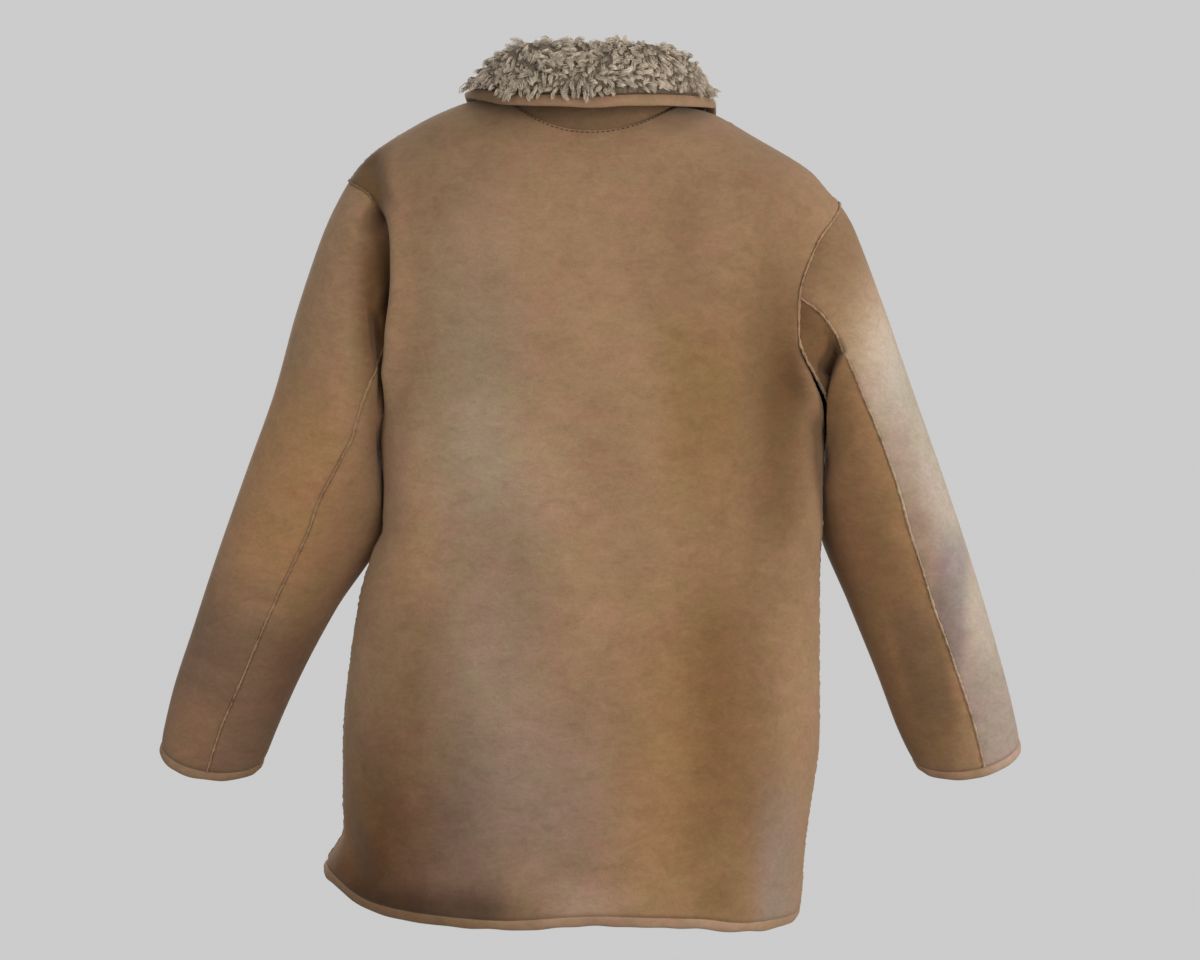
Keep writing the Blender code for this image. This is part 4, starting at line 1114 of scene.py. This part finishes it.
def bindEdge(name, edge, way, normal, seed, width=cut["binding"], closed=False, cloth=cut["cloth"],
             uneven=1.0):
    # a folded strip of suede round an edge, with the slight unevenness of a sewn one
    chance = np.random.default_rng(seed)
    run = lengthAlong(edge)
    turns = 2 * math.pi * run / run[-1]
    puff, reach = np.zeros(len(edge)), np.zeros(len(edge))
    fewest, most = bindingForm["counts"]
    most = max(most, int(run[-1] / bindingForm["shortest"]))
    for _ in range(bindingForm["waves"]):
        count = chance.integers(fewest, most)
        puff += np.sin(count * turns + chance.uniform(0, anyPhase))
        reach += np.sin(count // 2 * turns + chance.uniform(0, anyPhase))
    puff = 1 + bindingForm["puff"] * uneven * puff
    reach = width * (1 + bindingForm["reach"] * uneven * reach)
    half = cut["bindingThickness"] / 2
    middle = edge - normal * cloth / 2
    section = bindingForm["section"]
    loops = []
    for up, rows in ((half, section), (-half, section[-2::-1])):
        for share, full in rows:
            loops.append(middle + way * (share * reach)[:, None] + normal * (up * full * puff)[:, None])
    return tube(name, np.stack(loops, axis=1), [boundEdge], closed)


# The raw edge that stands up along each seam, and the fibres that fray from it
cordLook = {
    "width": 2.2, "height": 1.25, "base": -0.35, "step": 1.5,
    # across and up, as shares of the width and the height
    "section": ((-0.55, -0.6), (-0.5, 0.1), (-0.34, 0.75), (0.0, 1.0), (0.36, 0.7), (0.5, 0.05),
                (0.55, -0.6), (0.0, -1.1)),
    "wavy": 0.5, "wide": 0.3, "aside": 0.22, "high": 0.35, "up": 0.12,     # its raggedness
    "smooth": (0.25, 0.5, 0.25), "slowOver": 15, "fewest": 24,
    "ends": 4, "endShare": 0.15,    # it rises over this length at its ends
    "fibre": (1.1, 2.6), "fibreRadius": 0.15, "fibreEvery": 2.0, "fibreThin": (1.0, 0.8, 0.35),
    "out": (0.1, 1.0), "rise": (0.15, 0.9), "stray": 0.6, "droop": 0.7, "from": (0.4, 0.2),
    "shade": 0.6,
}


def seamCord(name, points, normal, seed):
    chance = np.random.default_rng(seed)
    run = lengthAlong(points)
    fine = np.linspace(0, run[-1], max(cordLook["fewest"], int(run[-1] / cordLook["step"])))
    points, normal = resampled(points, run, fine), unit(resampled(normal, run, fine))
    along = unit(np.gradient(points, axis=0))
    across = unit(np.cross(along, normal))

    def wander(weights):
        return np.convolve(chance.normal(size=len(fine) + len(weights) - 1), weights, "valid")

    ragged = [wander(cordLook["smooth"]) for _ in range(4)]
    slow = wander(np.ones(cordLook["slowOver"]) / cordLook["slowOver"]) * cordLook["wavy"]
    ends = softStep(np.minimum(fine, run[-1] - fine) / cordLook["ends"] + cordLook["endShare"])
    width, height = cordLook["width"], cordLook["height"]
    loops = []
    for place, level in cordLook["section"]:
        shift = place * width * (1 + cordLook["wide"] * ragged[0] + slow)
        shift = shift + cordLook["aside"] * ragged[1] + slow
        rise = height * level * ends * (1 + cordLook["high"] * ragged[2])
        rise = rise + cordLook["base"] + cordLook["up"] * ragged[3]
        loops.append(points + across * shift[:, None] + normal * rise[:, None])
    cord = tube(name, np.stack(loops, axis=1), [rawEdge])
    count = int(run[-1] / cordLook["fibreEvery"])
    at = chance.uniform(0, len(fine) - 1, count).astype(int)
    length = chance.uniform(*cordLook["fibre"], count)[:, None] / 2
    side = (chance.choice([-1, 1], count) * chance.uniform(*cordLook["out"], count))[:, None]
    up = normal[at]
    way = unit(across[at] * side + up * chance.uniform(*cordLook["rise"], count)[:, None]
               + along[at] * chance.normal(0, cordLook["stray"], count)[:, None])
    outAt, upAt = cordLook["from"]
    start = points[at] + across[at] * (side * width * outAt) + up * height * upAt
    middle = start + way * length
    lines = np.stack([start, middle, middle + unit(way - up * cordLook["droop"]) * length], axis=1)
    radii = np.tile(cordLook["fibreRadius"] * np.array(cordLook["fibreThin"]), (count, 1))
    shade = np.full((count, 3), cordLook["shade"])
    return cord, strandTubes(name + "_fibres", lines, radii, shade, rawEdge)


def makeBody():
    half = halfColumns(1)
    perMm = cut["neckColumn"] / cut["neckHalfWidth"]
    extra = -np.linspace(cut["overlap"] - cut["binding"], 0, mesh["overlap"] + 1)[:-1] * perMm
    leftColumns = np.concatenate([extra, half])
    panels = {
        "back": makePanel("back_suede", np.concatenate([-half[::-1], half[1:]]), 1),
        "front_left": makePanel("front_left_suede", leftColumns, -1),
        "front_right": makePanel("front_right_suede", -leftColumns[::-1], -1, cut["overlapLift"])}
    bindings = {}
    for seed, (name, (_, points, normal, down)) in enumerate(panels.items()):
        bindings[name] = bindEdge("hem_binding_" + name + "_strip", points[:, 0], down, normal[:, 0],
                                  seeds["hem"] + seed)
    edges = {}
    for seed, (side, edge, inner) in enumerate((("left", 0, 1), ("right", -1, -2))):
        _, points, normal, _ = panels["front_" + side]
        edges["front_" + side] = bindEdge("front_edge_binding_" + side + "_strip", points[edge],
                                          unit(points[edge] - points[inner]), normal[edge],
                                          seeds["frontEdge"] + seed)
    return panels, bindings, edges


# Sleeves

cuffSunk = 1.0           # how far a cuff's binding lies below the sleeve's outside
seamSteps = {"armhole": 260, "arm": 160, "side": 150, "shoulder": 90}
seamEnds = {"side": -0.975, "shoulder": (0.004, 0.999)}
beside = {"body": 0.96, "sleeve": 0.25, "turn": 0.01}    # places near a seam that give its direction
cuffStep = 0.1           # the same for the cuff, in rings


def sleeveNormals(arm, points, place):
    return turnedOut(gridNormals(points), points - ringMiddle(arm, place))


def cuffPlace(arm):
    # the place on the rings where the cuff's binding starts
    last = len(arm["rows"]) - 1
    run = ringPoint(arm, 0.25, last) - ringPoint(arm, 0.25, last - cuffStep)
    return last - cut["binding"] / (np.linalg.norm(run) / cuffStep)


tuckRows = {"fine": 600, "past": 0.05, "run": 0.35, "closer": 2.6, "extra": 9}


def sleeveRows(arm, end):
    # rows down the sleeve, closer to each other at the tuck
    fine = np.linspace(0, end, tuckRows["fine"])
    middle = np.mean([place for _, place in tucks[arm["name"]]["line"]])
    count = np.cumsum(1 + tuckRows["closer"] * bell(fine - middle - tuckRows["past"], tuckRows["run"]))
    rows = int(mesh["ring"] * end) + tuckRows["extra"]
    return np.interp(np.linspace(count[0], count[-1], rows), count, fine)


def makeSleeve(arm):
    around = 2 * mesh["armhole"]
    end = cuffPlace(arm)
    places = sleeveRows(arm, end)
    back, front = seamTurn(arm, places)
    backCount, frontCount = round(back[0] * around), round(front[0] * around)
    spans = (("sleeve_top_", front - 1, back, frontCount - around, backCount),
             ("sleeve_under_", back, front, backCount, frontCount))
    made = {}
    for (label, start, stop, first, last), suedeName in zip(spans, arm["suedes"]):
        share = np.linspace(0, 1, last - first + 1)
        a = start[None, :] + (stop - start)[None, :] * share[:, None]
        b = np.broadcast_to(places, a.shape)
        normal = sleeveNormals(arm, sleevePoint(arm, a, b), b)
        points = drawnDown(sleeveSkin(arm, a, b), normal, [(0, 0), (0, 1), (1, 0), (1, 1)])
        inside = innerSide(points, normal, cut["cloth"] + pileSwell * lumps(points))
        made[label] = wall(label + arm["name"] + "_suede", points, inside,
                           [sleeveSuedes[suedeName], pile])
    turns = np.arange(around) / around
    edge = sleeveSkin(arm, turns, np.full(around, end))
    way = unit(edge - sleeveSkin(arm, turns, np.full(around, end - cuffStep)))
    along = np.roll(edge, -1, axis=0) - np.roll(edge, 1, axis=0)
    normal = turnedOut(unit(np.cross(along, way)), edge - edge.mean(0))
    made["cuff"] = bindEdge("cuff_binding_" + arm["name"] + "_strip", edge - normal * cuffSunk, way,
                            normal, seeds["cuff"] + arm["side"], closed=True)
    return made


def makeSeams():
    # raised raw edges along the armholes, the arm seams, the side seams and the shoulders
    made = []
    for arm in (leftArm, rightArm):
        side, name = arm["side"], arm["name"]
        turns = np.linspace(0, 1, seamSteps["armhole"])
        points = sleeveSkin(arm, turns, np.zeros_like(turns))
        nearby = sleeveSkin(arm, turns, np.full_like(turns, beside["sleeve"]))
        onBody, rises = np.full_like(turns, side * beside["body"]), armholeRise(turns)
        sides = (bodySkin(onBody, rises, facing) for facing in (1, -1))
        inner = np.where((turns <= 0.5)[:, None], *sides)
        across = unit(nearby - points) - unit(inner - points)
        normal = unit(np.cross(np.gradient(points, axis=0), across))
        normal = turnedOut(normal, unit(points - points.mean(0)))
        made += seamCord("armhole_seam_" + name, points, normal, seeds["armhole"] + side)
        places = np.linspace(0, cuffPlace(arm), seamSteps["arm"])
        for label, turn in zip(("back", "front"), seamTurn(arm, places)):
            before, points, after = (sleeveSkin(arm, turn + step, places)
                                     for step in (-beside["turn"], 0, beside["turn"]))
            normal = unit(np.cross(np.gradient(points, axis=0), after - before))
            normal = turnedOut(normal, points - ringMiddle(arm, places))
            made += seamCord(label + "_arm_seam_" + name, points, normal, seeds[label + "Arm"] + side)
        rises = np.linspace(seamEnds["side"], 0, seamSteps["side"])
        points = bodySkin(np.full_like(rises, side), rises, 1)
        normal = np.tile([float(side), 0.0, 0.0], (len(points), 1))
        made += seamCord("side_seam_" + name, points, normal, seeds["side"] + side)
        past, end = seamEnds["shoulder"]
        columns = side * np.linspace(cut["neckColumn"] + past, end, seamSteps["shoulder"])
        points = bodyPoint(columns, np.ones_like(columns), 1)
        normal = unit(np.cross(np.gradient(points, axis=0), [0.0, 1.0, 0.0]))
        made += seamCord("shoulder_seam_" + name, points, normal * np.sign(normal[:, 2:]),
                         seeds["shoulder"] + side)
    return made


# Collar


def neckSeam():
    across = cut["neckColumn"] * np.sin(np.linspace(0, math.pi / 2, collarForm["neckSteps"] + 1))
    first = collarForm["opening"] / cut["neckHalfWidth"] * cut["neckColumn"]
    front = np.concatenate([[first], across[1:]])
    back = np.concatenate([-across[::-1], across[1:]])[1:-1]
    parts = []
    for columns, facing, lift in ((-front, -1, cut["overlapLift"]), (back, 1, 0), (front[::-1], -1, 0)):
        edge = bodyPoint(columns, 1.0, facing, lift)
        nearer = columns - np.where(columns < 0, -1, 1) * collarForm["nearby"]
        side = unit(edge - bodyPoint(nearer, 1.0, facing, lift))
        down = bodyPoint(columns, collarForm["below"], facing, lift) - edge
        down = unit(down - side * (down * side).sum(-1, keepdims=True))
        parts.append(edge - down * cut["collarGap"])
    return np.concatenate(parts)


def collarSection(seamPoint, at):
    # out from the neck seam and up: the stand, the roll and the fall
    side = "left" if seamPoint[0] >= 0 else "right"
    radius, lean = collarForm["rollRadius"], at["lean"]
    height = at[side + "RollZ"] - radius - seamPoint[2]
    turns = np.radians(collarForm["rollAngles"])
    rolled = np.stack([lean + radius * (1 + np.cos(turns)), height + radius * np.sin(turns)], axis=-1)
    start = rolled[-1]
    fall = np.array([at["edgeOut"], at[side + "EdgeZ"] - seamPoint[2]]) - start
    clothEnd = 1 - cut["collarBinding"] / np.linalg.norm(fall)
    fallen = start + fall * clothEnd * np.array(collarForm["fallShares"])[:, None]
    stand = [(0.0, 0.0), (lean / 2, height / 2), (lean, height)]
    return np.concatenate([stand, rolled, fallen, [start + fall]])


def shoulderTop(x, y, z):
    share = np.abs(y) / np.maximum(depthAt(y, z) * acrossAt(x, z), 1)
    top = ridgeZ(x) - cut["ridgeRound"] * (1 - np.sqrt(1 - np.minimum(share, 1)**2))
    return np.where(share < 1, top, z - cut["ridgeRound"])


def offBody(points):
    moved = points.copy()
    x, y, z = moved[..., 0], moved[..., 1], moved[..., 2]
    facing = np.where(y > 0, 1, -1)
    surface = np.where(y > 0, bodyY(x, z, 1), -bodyY(x, z, -1))
    out = surface + cut["collarClear"] - np.abs(y)
    up = shoulderTop(x, y, z) + cut["collarClear"] - z
    inside = (out > 0) & (up > 0)
    moved[..., 1] += np.where(inside & (out < up), facing * out, 0)
    moved[..., 2] += np.where(inside & (out >= up), up, 0)
    return moved


def finer(grid, times, axis):
    # a curve through the grid's rows, with times steps between two
    grid = np.moveaxis(grid, axis, 0)
    ends = np.concatenate([2 * grid[:1] - grid[1:2], grid, 2 * grid[-1:] - grid[-2:-1]])
    rows = []
    for i in range(len(grid) - 1):
        a, b, c, d = ends[i:i + 4]
        for t in np.arange(times) / times:
            rows.append(0.5 * (2 * b + (c - a) * t + (2 * a - 5 * b + 4 * c - d) * t**2
                               + (3 * b - a - 3 * c + d) * t**3))
    rows.append(grid[-1])
    return np.moveaxis(np.array(rows), 0, axis)


def collarGrid():
    seam = neckSeam()
    outward = unit(seam * [1, 1, 0])
    angles = np.degrees(np.arctan2(np.abs(seam[:, 0]), seam[:, 1]))
    rows = []
    for point, out, angle in zip(seam, outward, angles):
        at = {name: float(looked(collarForm, "angle", name, angle)) for name in collarForm["columns"]}
        path = collarSection(point, at)
        fallen = np.clip((path[:, :1] - at["lean"]) / at["edgeOut"], 0, 1)
        side, up = np.array([np.sign(point[0]), 0, 0]), np.array([0, 0, 1.0])
        rows.append(point + path[:, :1] * out + path[:, 1:] * up + fallen * at["sway"] * side)
    grid = np.array(rows)
    last = collarForm["fallRows"]
    grid[:, -last:] = offBody(grid[:, -last:])
    return grid


# The bed that the collar's locks stand in, and how the suede's neck edge is tucked into the seam
pileBed = {"off": 0.15, "share": 0.50, "uneven": 1.1, "length": 13.0, "seed": 8, "edgeSteps": 4,
           "edgeShare": 0.3, "bindingOver": 4.0, "bindingUneven": 0.35}
neckTuck = {"in": 1.9, "down": 5.0}


def makeCollar():
    fine = finer(finer(collarGrid(), mesh["collarAlong"], 0), mesh["collarAcross"], 1)
    middle = fine.mean(axis=(0, 1)) * [1, 1, 0]
    normal = gridNormals(fine)
    # the pile's side looks inward on the stand and outward on the fall
    if (normal[:, 0] * unit((fine[:, 0] - middle) * [1, 1, 0])).sum() > 0:
        normal = -normal
    end, thick = fine.shape[1] - mesh["collarAcross"], cut["collarCloth"]
    cloth, clothNormal = fine[:, :end], normal[:, :end]
    inner = cloth + clothNormal * thick
    up = unit(cloth[:, 1] - cloth[:, 0])
    hidden = cloth[:, :1] + (clothNormal[:, 0] * neckTuck["in"] - up * neckTuck["down"])[:, None]
    under = wall("collar_suede", np.concatenate([hidden, cloth], axis=1),
                 np.concatenate([hidden + clothNormal[:, :1] * thick, inner], axis=1),
                 [shadedStandSuede, shadedStandSuede])
    reach = pileBed["share"] * cut["pileReach"]
    reach = reach + pileBed["uneven"] * lumps(cloth, 1.0, pileBed["length"], pileBed["seed"])
    rows = np.arange(end)
    edge = softStep(np.minimum(rows, end - 1 - rows) / pileBed["edgeSteps"] + pileBed["edgeShare"])
    base = wall("collar_pile_bed", inner + clothNormal * pileBed["off"],
                inner + clothNormal * (pileBed["off"] + reach * edge)[..., None], [pile, pile])
    way = unit(fine[:, -1] - fine[:, end - 1])
    across, over = clothNormal[:, -1], pileBed["bindingOver"]
    surface = fine[:, end - 1] + way * cut["collarEdgeGap"] + across * (thick + over) / 2
    strip = bindEdge("collar_binding_strip", surface, way, across, seeds["collar"],
                     width=cut["collarBinding"], cloth=over, uneven=pileBed["bindingUneven"])
    return under, base, strip, inner, clothNormal


# Locks of teddy pile on the collar

lockShape = {
    "seed": 3, "backSpacing": 3.7, "frontSpacing": 5.4, "standSpacing": 9.0, "tries": 30000,
    "backHalf": 0.27,          # share of the collar's length, each way from its middle, that is the back
    "clearEdge": 0.05,         # share of the path left without roots above the binding, on the right
    "clearFrom": 0.505, "clearRun": 0.06,
    "stand": 0.33,             # share of the path, from the neck seam, that is the stand
    "strands": 12, "lift": 3.0,
    "length": (10.0, 18.0), "sizes": (0.72, 1.18), "spread": 2.3, "radius": 0.43,
    "lean": (0.35, 1.50), "leanStray": (0.2, 0.25),     # radians off the cloth at the root, the tip
    "swirl": 1.3, "swirlLength": 46.0, "stray": 0.5, "clump": 0.12, "clumpLength": 30.0,
    "curl": (0.9, 3.0), "curlFrom": 0.3, "bend": 0.7, "twist": (1.0, 3.0), "hang": 0.5,
    "lowFrom": 0.78, "lowRun": 0.2, "lowSwirl": 0.7, "lowCurl": 0.5,    # calmer above the binding
    # shares of the spread and of the radius from root to tip
    "body": (0.50, 0.95, 1.0, 0.88, 0.42), "thin": (1.0, 1.0, 0.95, 0.76, 0.32),
    "outer": (0.65, 1.05), "core": 0.12, "wave": 0.35, "waves": 8, "cutShort": (0.74, 1.0),
    "round": 0.35, "thickness": (0.8, 1.15),
    "shade": (0.08, 0.72), "shadePower": 0.6, "lockTone": 0.10, "strandTone": 0.09,
    "cell": 10,                # side of the cells that neighbours are looked up in
}


def lockRoots(inner, normal, chance):
    # spaced places on the collar's pile side, with the way down and across at each
    rows, columns = inner.shape[:2]
    size = np.linalg.norm(np.cross(np.gradient(inner, axis=0), np.gradient(inner, axis=1)), axis=-1)
    chances = (size / size.sum()).ravel()
    kept, cells = [], {}
    for pick in chance.choice(rows * columns, size=lockShape["tries"], p=chances):
        i, j = divmod(int(pick), columns)
        point = inner[i, j]
        gap = lockShape["backSpacing" if abs(i / rows - 0.5) < lockShape["backHalf"] else "frontSpacing"]
        gap = lockShape["standSpacing"] if j < lockShape["stand"] * columns else gap
        cell = tuple((point // lockShape["cell"]).astype(int))
        near = [other for a in (-1, 0, 1) for b in (-1, 0, 1) for c in (-1, 0, 1)
                for other in cells.get((cell[0] + a, cell[1] + b, cell[2] + c), ())]
        if all(((point - inner[other])**2).sum() > gap * gap for other in near):
            kept.append((i, j))
            cells.setdefault(cell, []).append((i, j))
    i, j = np.array(kept).T
    clear = softStep((lockShape["clearFrom"] - i / rows) / lockShape["clearRun"])
    keep = j / columns < 1 - lockShape["clearEdge"] * clear
    i, j = i[keep], j[keep]
    down = unit(np.gradient(inner, axis=1))[i, j]
    return inner[i, j], normal[i, j], down, i / (rows - 1), j / (columns - 1)


def lockLines(roots, normal, down, across, chance):
    # the middle line of every lock, as it rises off the cloth and curls over
    count, steps = len(roots), len(lockShape["body"])
    beside = np.cross(normal, down)
    clumps = lumps(roots, 1.0, lockShape["clumpLength"], seeds["clump"])
    size = chance.uniform(*lockShape["sizes"], count) * (1 + lockShape["clump"] * clumps)
    length = chance.uniform(*lockShape["length"], size=count) * size
    lower = softStep((across - lockShape["lowFrom"]) / lockShape["lowRun"])
    swirl = lockShape["swirl"] * lumps(roots, 1.0, lockShape["swirlLength"], seeds["swirl"])
    heading = swirl * (1 - lockShape["lowSwirl"] * lower) + chance.normal(0, lockShape["stray"], count)
    curl = chance.uniform(*lockShape["curl"], size=count) * chance.choice([-1, 1], count)
    curl = curl * (1 - lockShape["lowCurl"] * lower)
    rootLean, tipLean = (lean + chance.normal(0, stray, count)
                         for lean, stray in zip(lockShape["lean"], lockShape["leanStray"]))
    place = roots.copy()
    lines = [place]
    for step in range(steps - 1):
        t = (step + 0.5) / (steps - 1)
        lean = rootLean + (tipLean - rootLean) * t**lockShape["bend"]
        turn = heading + curl * (t - lockShape["curlFrom"])
        flat = down * np.cos(turn)[:, None] + beside * np.sin(turn)[:, None]
        way = normal * np.cos(lean)[:, None] + flat * np.sin(lean)[:, None]
        way = unit(way + np.array([0, 0, -1.0]) * lockShape["hang"] * t * t)
        place = place + way * (length / (steps - 1))[:, None]
        lines.append(place)
    return np.stack(lines, axis=1), size


# The collar's stretches, as shares of its length from the right front to the left
lockParts = (("left_front", 0.72, 1.01), ("left", 0.55, 0.72), ("middle", 0.45, 0.55),
             ("right", 0.28, 0.45), ("right_front", -0.01, 0.28))


def makeLocks(inner, normal):
    chance = np.random.default_rng(lockShape["seed"])
    roots, out, down, along, across = lockRoots(inner, normal, chance)
    lines, size = lockLines(roots + out * lockShape["lift"], out, down, across, chance)
    count, steps = lines.shape[:2]
    print("locks", count)
    strands = lockShape["strands"]
    share = np.linspace(0, 1, steps)
    full, thin = np.array(lockShape["body"]), np.array(lockShape["thin"])
    ways = unit(np.gradient(lines, axis=1))
    first = unit(np.cross(ways, out[:, None, :] + 1e-3))
    second = np.cross(ways, first)
    twist = chance.uniform(*lockShape["twist"], count) * chance.choice([-1, 1], count)
    tone = chance.normal(0, lockShape["lockTone"], count)
    dark, lighter = lockShape["shade"]
    made = []
    for strand in range(strands):
        angle = 2 * math.pi * strand / (strands - 1) + chance.normal(0, lockShape["round"], count)
        outer = chance.uniform(*lockShape["outer"], count) if strand else lockShape["core"]
        turn = angle[:, None] + twist[:, None] * share
        offset = first * np.cos(turn)[..., None] + second * np.sin(turn)[..., None]
        wave = np.sin(share * lockShape["waves"] + chance.uniform(0, anyPhase, (count, 1)))
        spread = (lockShape["spread"] * size * outer)[:, None] * full
        shift = (spread + lockShape["wave"] * wave * share)[..., None]
        cutShort = chance.uniform(*lockShape["cutShort"], count)[:, None, None]
        line = lines[:, :1] + (lines + offset * shift - lines[:, :1]) * cutShort
        # painted shade: each strand darker towards its root; the lock's and strand's own tones vary at
        # random
        shade = dark + lighter * share**lockShape["shadePower"] + tone[:, None]
        shade = shade + chance.normal(0, lockShape["strandTone"], (count, 1))
        thickness = chance.uniform(*lockShape["thickness"], (count, 1))
        made.append((line, lockShape["radius"] * size[:, None] * thin * thickness, shade))
    lines, radii, shades = (np.stack(values, axis=1) for values in zip(*made))
    pieces = []
    for label, low, high in lockParts:
        chosen = (along >= low) & (along < high)
        total = int(chosen.sum()) * strands
        pieces.append(strandTubes("teddy_locks_" + label, lines[chosen].reshape(total, steps, 3),
                                  radii[chosen].reshape(total, steps),
                                  shades[chosen].reshape(total, steps), locks))
    return pieces


# Neck stitches

neckStitch = {"from": 0.03, "to": 0.97, "length": 2.3, "pitch": 5.0, "radius": 0.6,
              "below": 2.8, "proud": 0.1, "arch": 0.5, "thin": (0.6, 1, 1, 1, 0.6),
              "fine": 240, "nearby": 0.01}    # points along the neck, and a rise just below it


def makeNeckStitches():
    columns = np.linspace(-cut["neckColumn"], cut["neckColumn"], neckStitch["fine"])
    rise = 1 - neckStitch["below"] / (topZ(columns, 1) - cut["underarmZ"])
    points = bodySkin(columns, rise, 1)
    along = unit(np.gradient(points, axis=0))
    normal = unit(np.cross(along, bodySkin(columns, rise - neckStitch["nearby"], 1) - points))
    normal *= np.sign(normal[:, 1:2])
    run = lengthAlong(points)
    starts = np.arange(run[-1] * neckStitch["from"], run[-1] * neckStitch["to"], neckStitch["pitch"])
    steps = len(neckStitch["thin"])
    at = starts[:, None] + np.linspace(0, neckStitch["length"], steps)[None, :]
    arch = np.sin(np.linspace(0, math.pi, steps)) * neckStitch["arch"]
    arch = arch - neckStitch["arch"] / 2 + neckStitch["proud"]
    lines = resampled(points, run, at) + resampled(normal, run, at) * arch[None, :, None]
    radii = np.tile(neckStitch["radius"] * np.array(neckStitch["thin"]), (len(starts), 1))
    return strandTubes("neck_stitches", lines, radii, np.full(lines.shape[:2], 0.5), thread)


# Surroundings

room = {"floorZ": -1.25, "flat": 4.4, "bend": 1.8, "height": 5.2, "sides": 96, "bendSteps": 12,
        "colour": (204, 204, 204), "seen": 0.995, "glow": 0.42,
        "sky": (0.75, 0.77, 0.8, 1), "skyStrength": 0.45}


def makeRoom():
    # a plain pale floor that turns up into a wall all round
    flat, bend, sides = room["flat"], room["bend"], room["sides"]
    angles = math.pi / 2 * np.arange(room["bendSteps"] + 1) / room["bendSteps"]
    radii = np.concatenate([[flat * 0.5], flat + bend * np.sin(angles), [flat + bend]])
    heights = np.concatenate([[0.0], bend * (1 - np.cos(angles)), [room["height"]]]) + room["floorZ"]
    turns = np.arange(sides) * 2 * math.pi / sides
    x, y = (np.outer(way, radii) for way in (np.cos(turns), np.sin(turns)))
    points = np.stack([x, y, np.broadcast_to(heights, x.shape)], axis=-1).reshape(-1, 3)
    at = np.arange(len(points)).reshape(sides, len(radii))
    a, b = at, np.roll(at, -1, axis=0)
    faces = np.concatenate([faceRows(a[:, 0], b[:, 0], np.full(sides, len(points))),
                            faceRows(a[:, :-1], b[:, :-1], b[:, 1:]),
                            faceRows(a[:, :-1], b[:, 1:], a[:, 1:])])
    look, nodes, shader = newMaterial("pale_room", {
        "Base Color": (0, 0, 0, 1), "Roughness": 1.0, "Specular IOR Level": 0.0,
        "Emission Color": linear(*room["colour"])})
    seen = nodes.add("ShaderNodeLightPath").outputs["Is Camera Ray"]
    nodes.join(nodes.ramp(seen, 0.0, 1.0, room["glow"], room["seen"]), shader, "Emission Strength")
    points = np.concatenate([points, [[0, 0, room["floorZ"]]]])
    made = meshFrom("pale_room", points / mm, faces, [look])
    made.data.flip_normals()
    made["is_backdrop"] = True
    scene.world = bpy.data.worlds.new("pale_world")
    scene.world.use_nodes = True
    background = scene.world.node_tree.nodes["Background"].inputs
    background["Color"].default_value = room["sky"]
    background["Strength"].default_value = room["skyStrength"]


lamps = (
    # name, place, aim, width, power, colour
    ("key", (-3.0, 0.9, -0.1), (-0.1, 0.0, -0.45), 1.0, 44.0, (1.0, 0.975, 0.94)),
    ("overKey", (-1.2, 2.9, -0.1), (0.0, 0.0, -0.42), 1.7, 46.0, (1.0, 0.97, 0.935)),
    ("fill", (1.9, 2.6, 0.1), (0.0, 0.0, -0.35), 1.8, 26.0, (0.95, 0.97, 1.0)),
    ("top", (-0.2, 0.9, 2.4), (0.0, 0.0, -0.2), 1.4, 8.0, (1.0, 0.98, 0.95)),
    ("front", (0.9, -2.8, 0.7), (0.0, 0.0, -0.4), 1.8, 60.0, (1.0, 0.98, 0.96)),
)


def makeLamps():
    for name, place, aim, width, power, colour in lamps:
        light = bpy.data.lights.new(name, "AREA")
        light.size, light.energy, light.color = width, power, colour
        made = bpy.data.objects.new(name, light)
        made.location = place
        made.rotation_euler = (Vector(aim) - Vector(place)).to_track_quat("-Z", "Y").to_euler()
        made.visible_camera = False
        scene.collection.objects.link(made)


# Everything together


def main():
    scene.view_settings.view_transform = "Standard"
    makeCamera()
    makeRoom()
    makeLamps()
    panels, bindings, edges = makeBody()
    print("body made")
    arms = {arm["name"]: makeSleeve(arm) for arm in (leftArm, rightArm)}
    print("sleeves made")
    seams = makeSeams()
    under, bed, strip, inner, normal = makeCollar()
    tufts = makeLocks(inner, normal)
    stitches = makeNeckStitches()
    print("collar made")

    suedePieces = [piece[0] for piece in panels.values()]
    for made in arms.values():
        suedePieces += [made["sleeve_top_"], made["sleeve_under_"]]
    rideAll(suedePieces + [under] + seams)
    rideAll([bed] + tufts)
    cuffs = [made["cuff"] for made in arms.values()]
    rideAll([*bindings.values(), *edges.values(), strip, *cuffs, stitches])
    for name, (piece, _, _, _) in panels.items():
        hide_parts(name)
        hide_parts("hem_binding_" + name)
    for name, piece in edges.items():
        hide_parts("front_edge_binding_" + name[6:])
    for side, made in arms.items():
        for label in ("sleeve_top_", "sleeve_under_"):
            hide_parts(label + side)
        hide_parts("cuff_binding_" + side)
    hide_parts("collar")
    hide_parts("collar_pile")
    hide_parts("collar_binding")
    for number in range(1, 5):
        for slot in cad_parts[f"button_{number}"].material_slots:
            slot.material = horn

    counts = {piece.name: sum(len(p.vertices) - 2 for p in piece.data.polygons)
              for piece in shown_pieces()}
    print("triangles", sum(counts.values()), "most", max(counts.items(), key=lambda item: item[1]))


main()
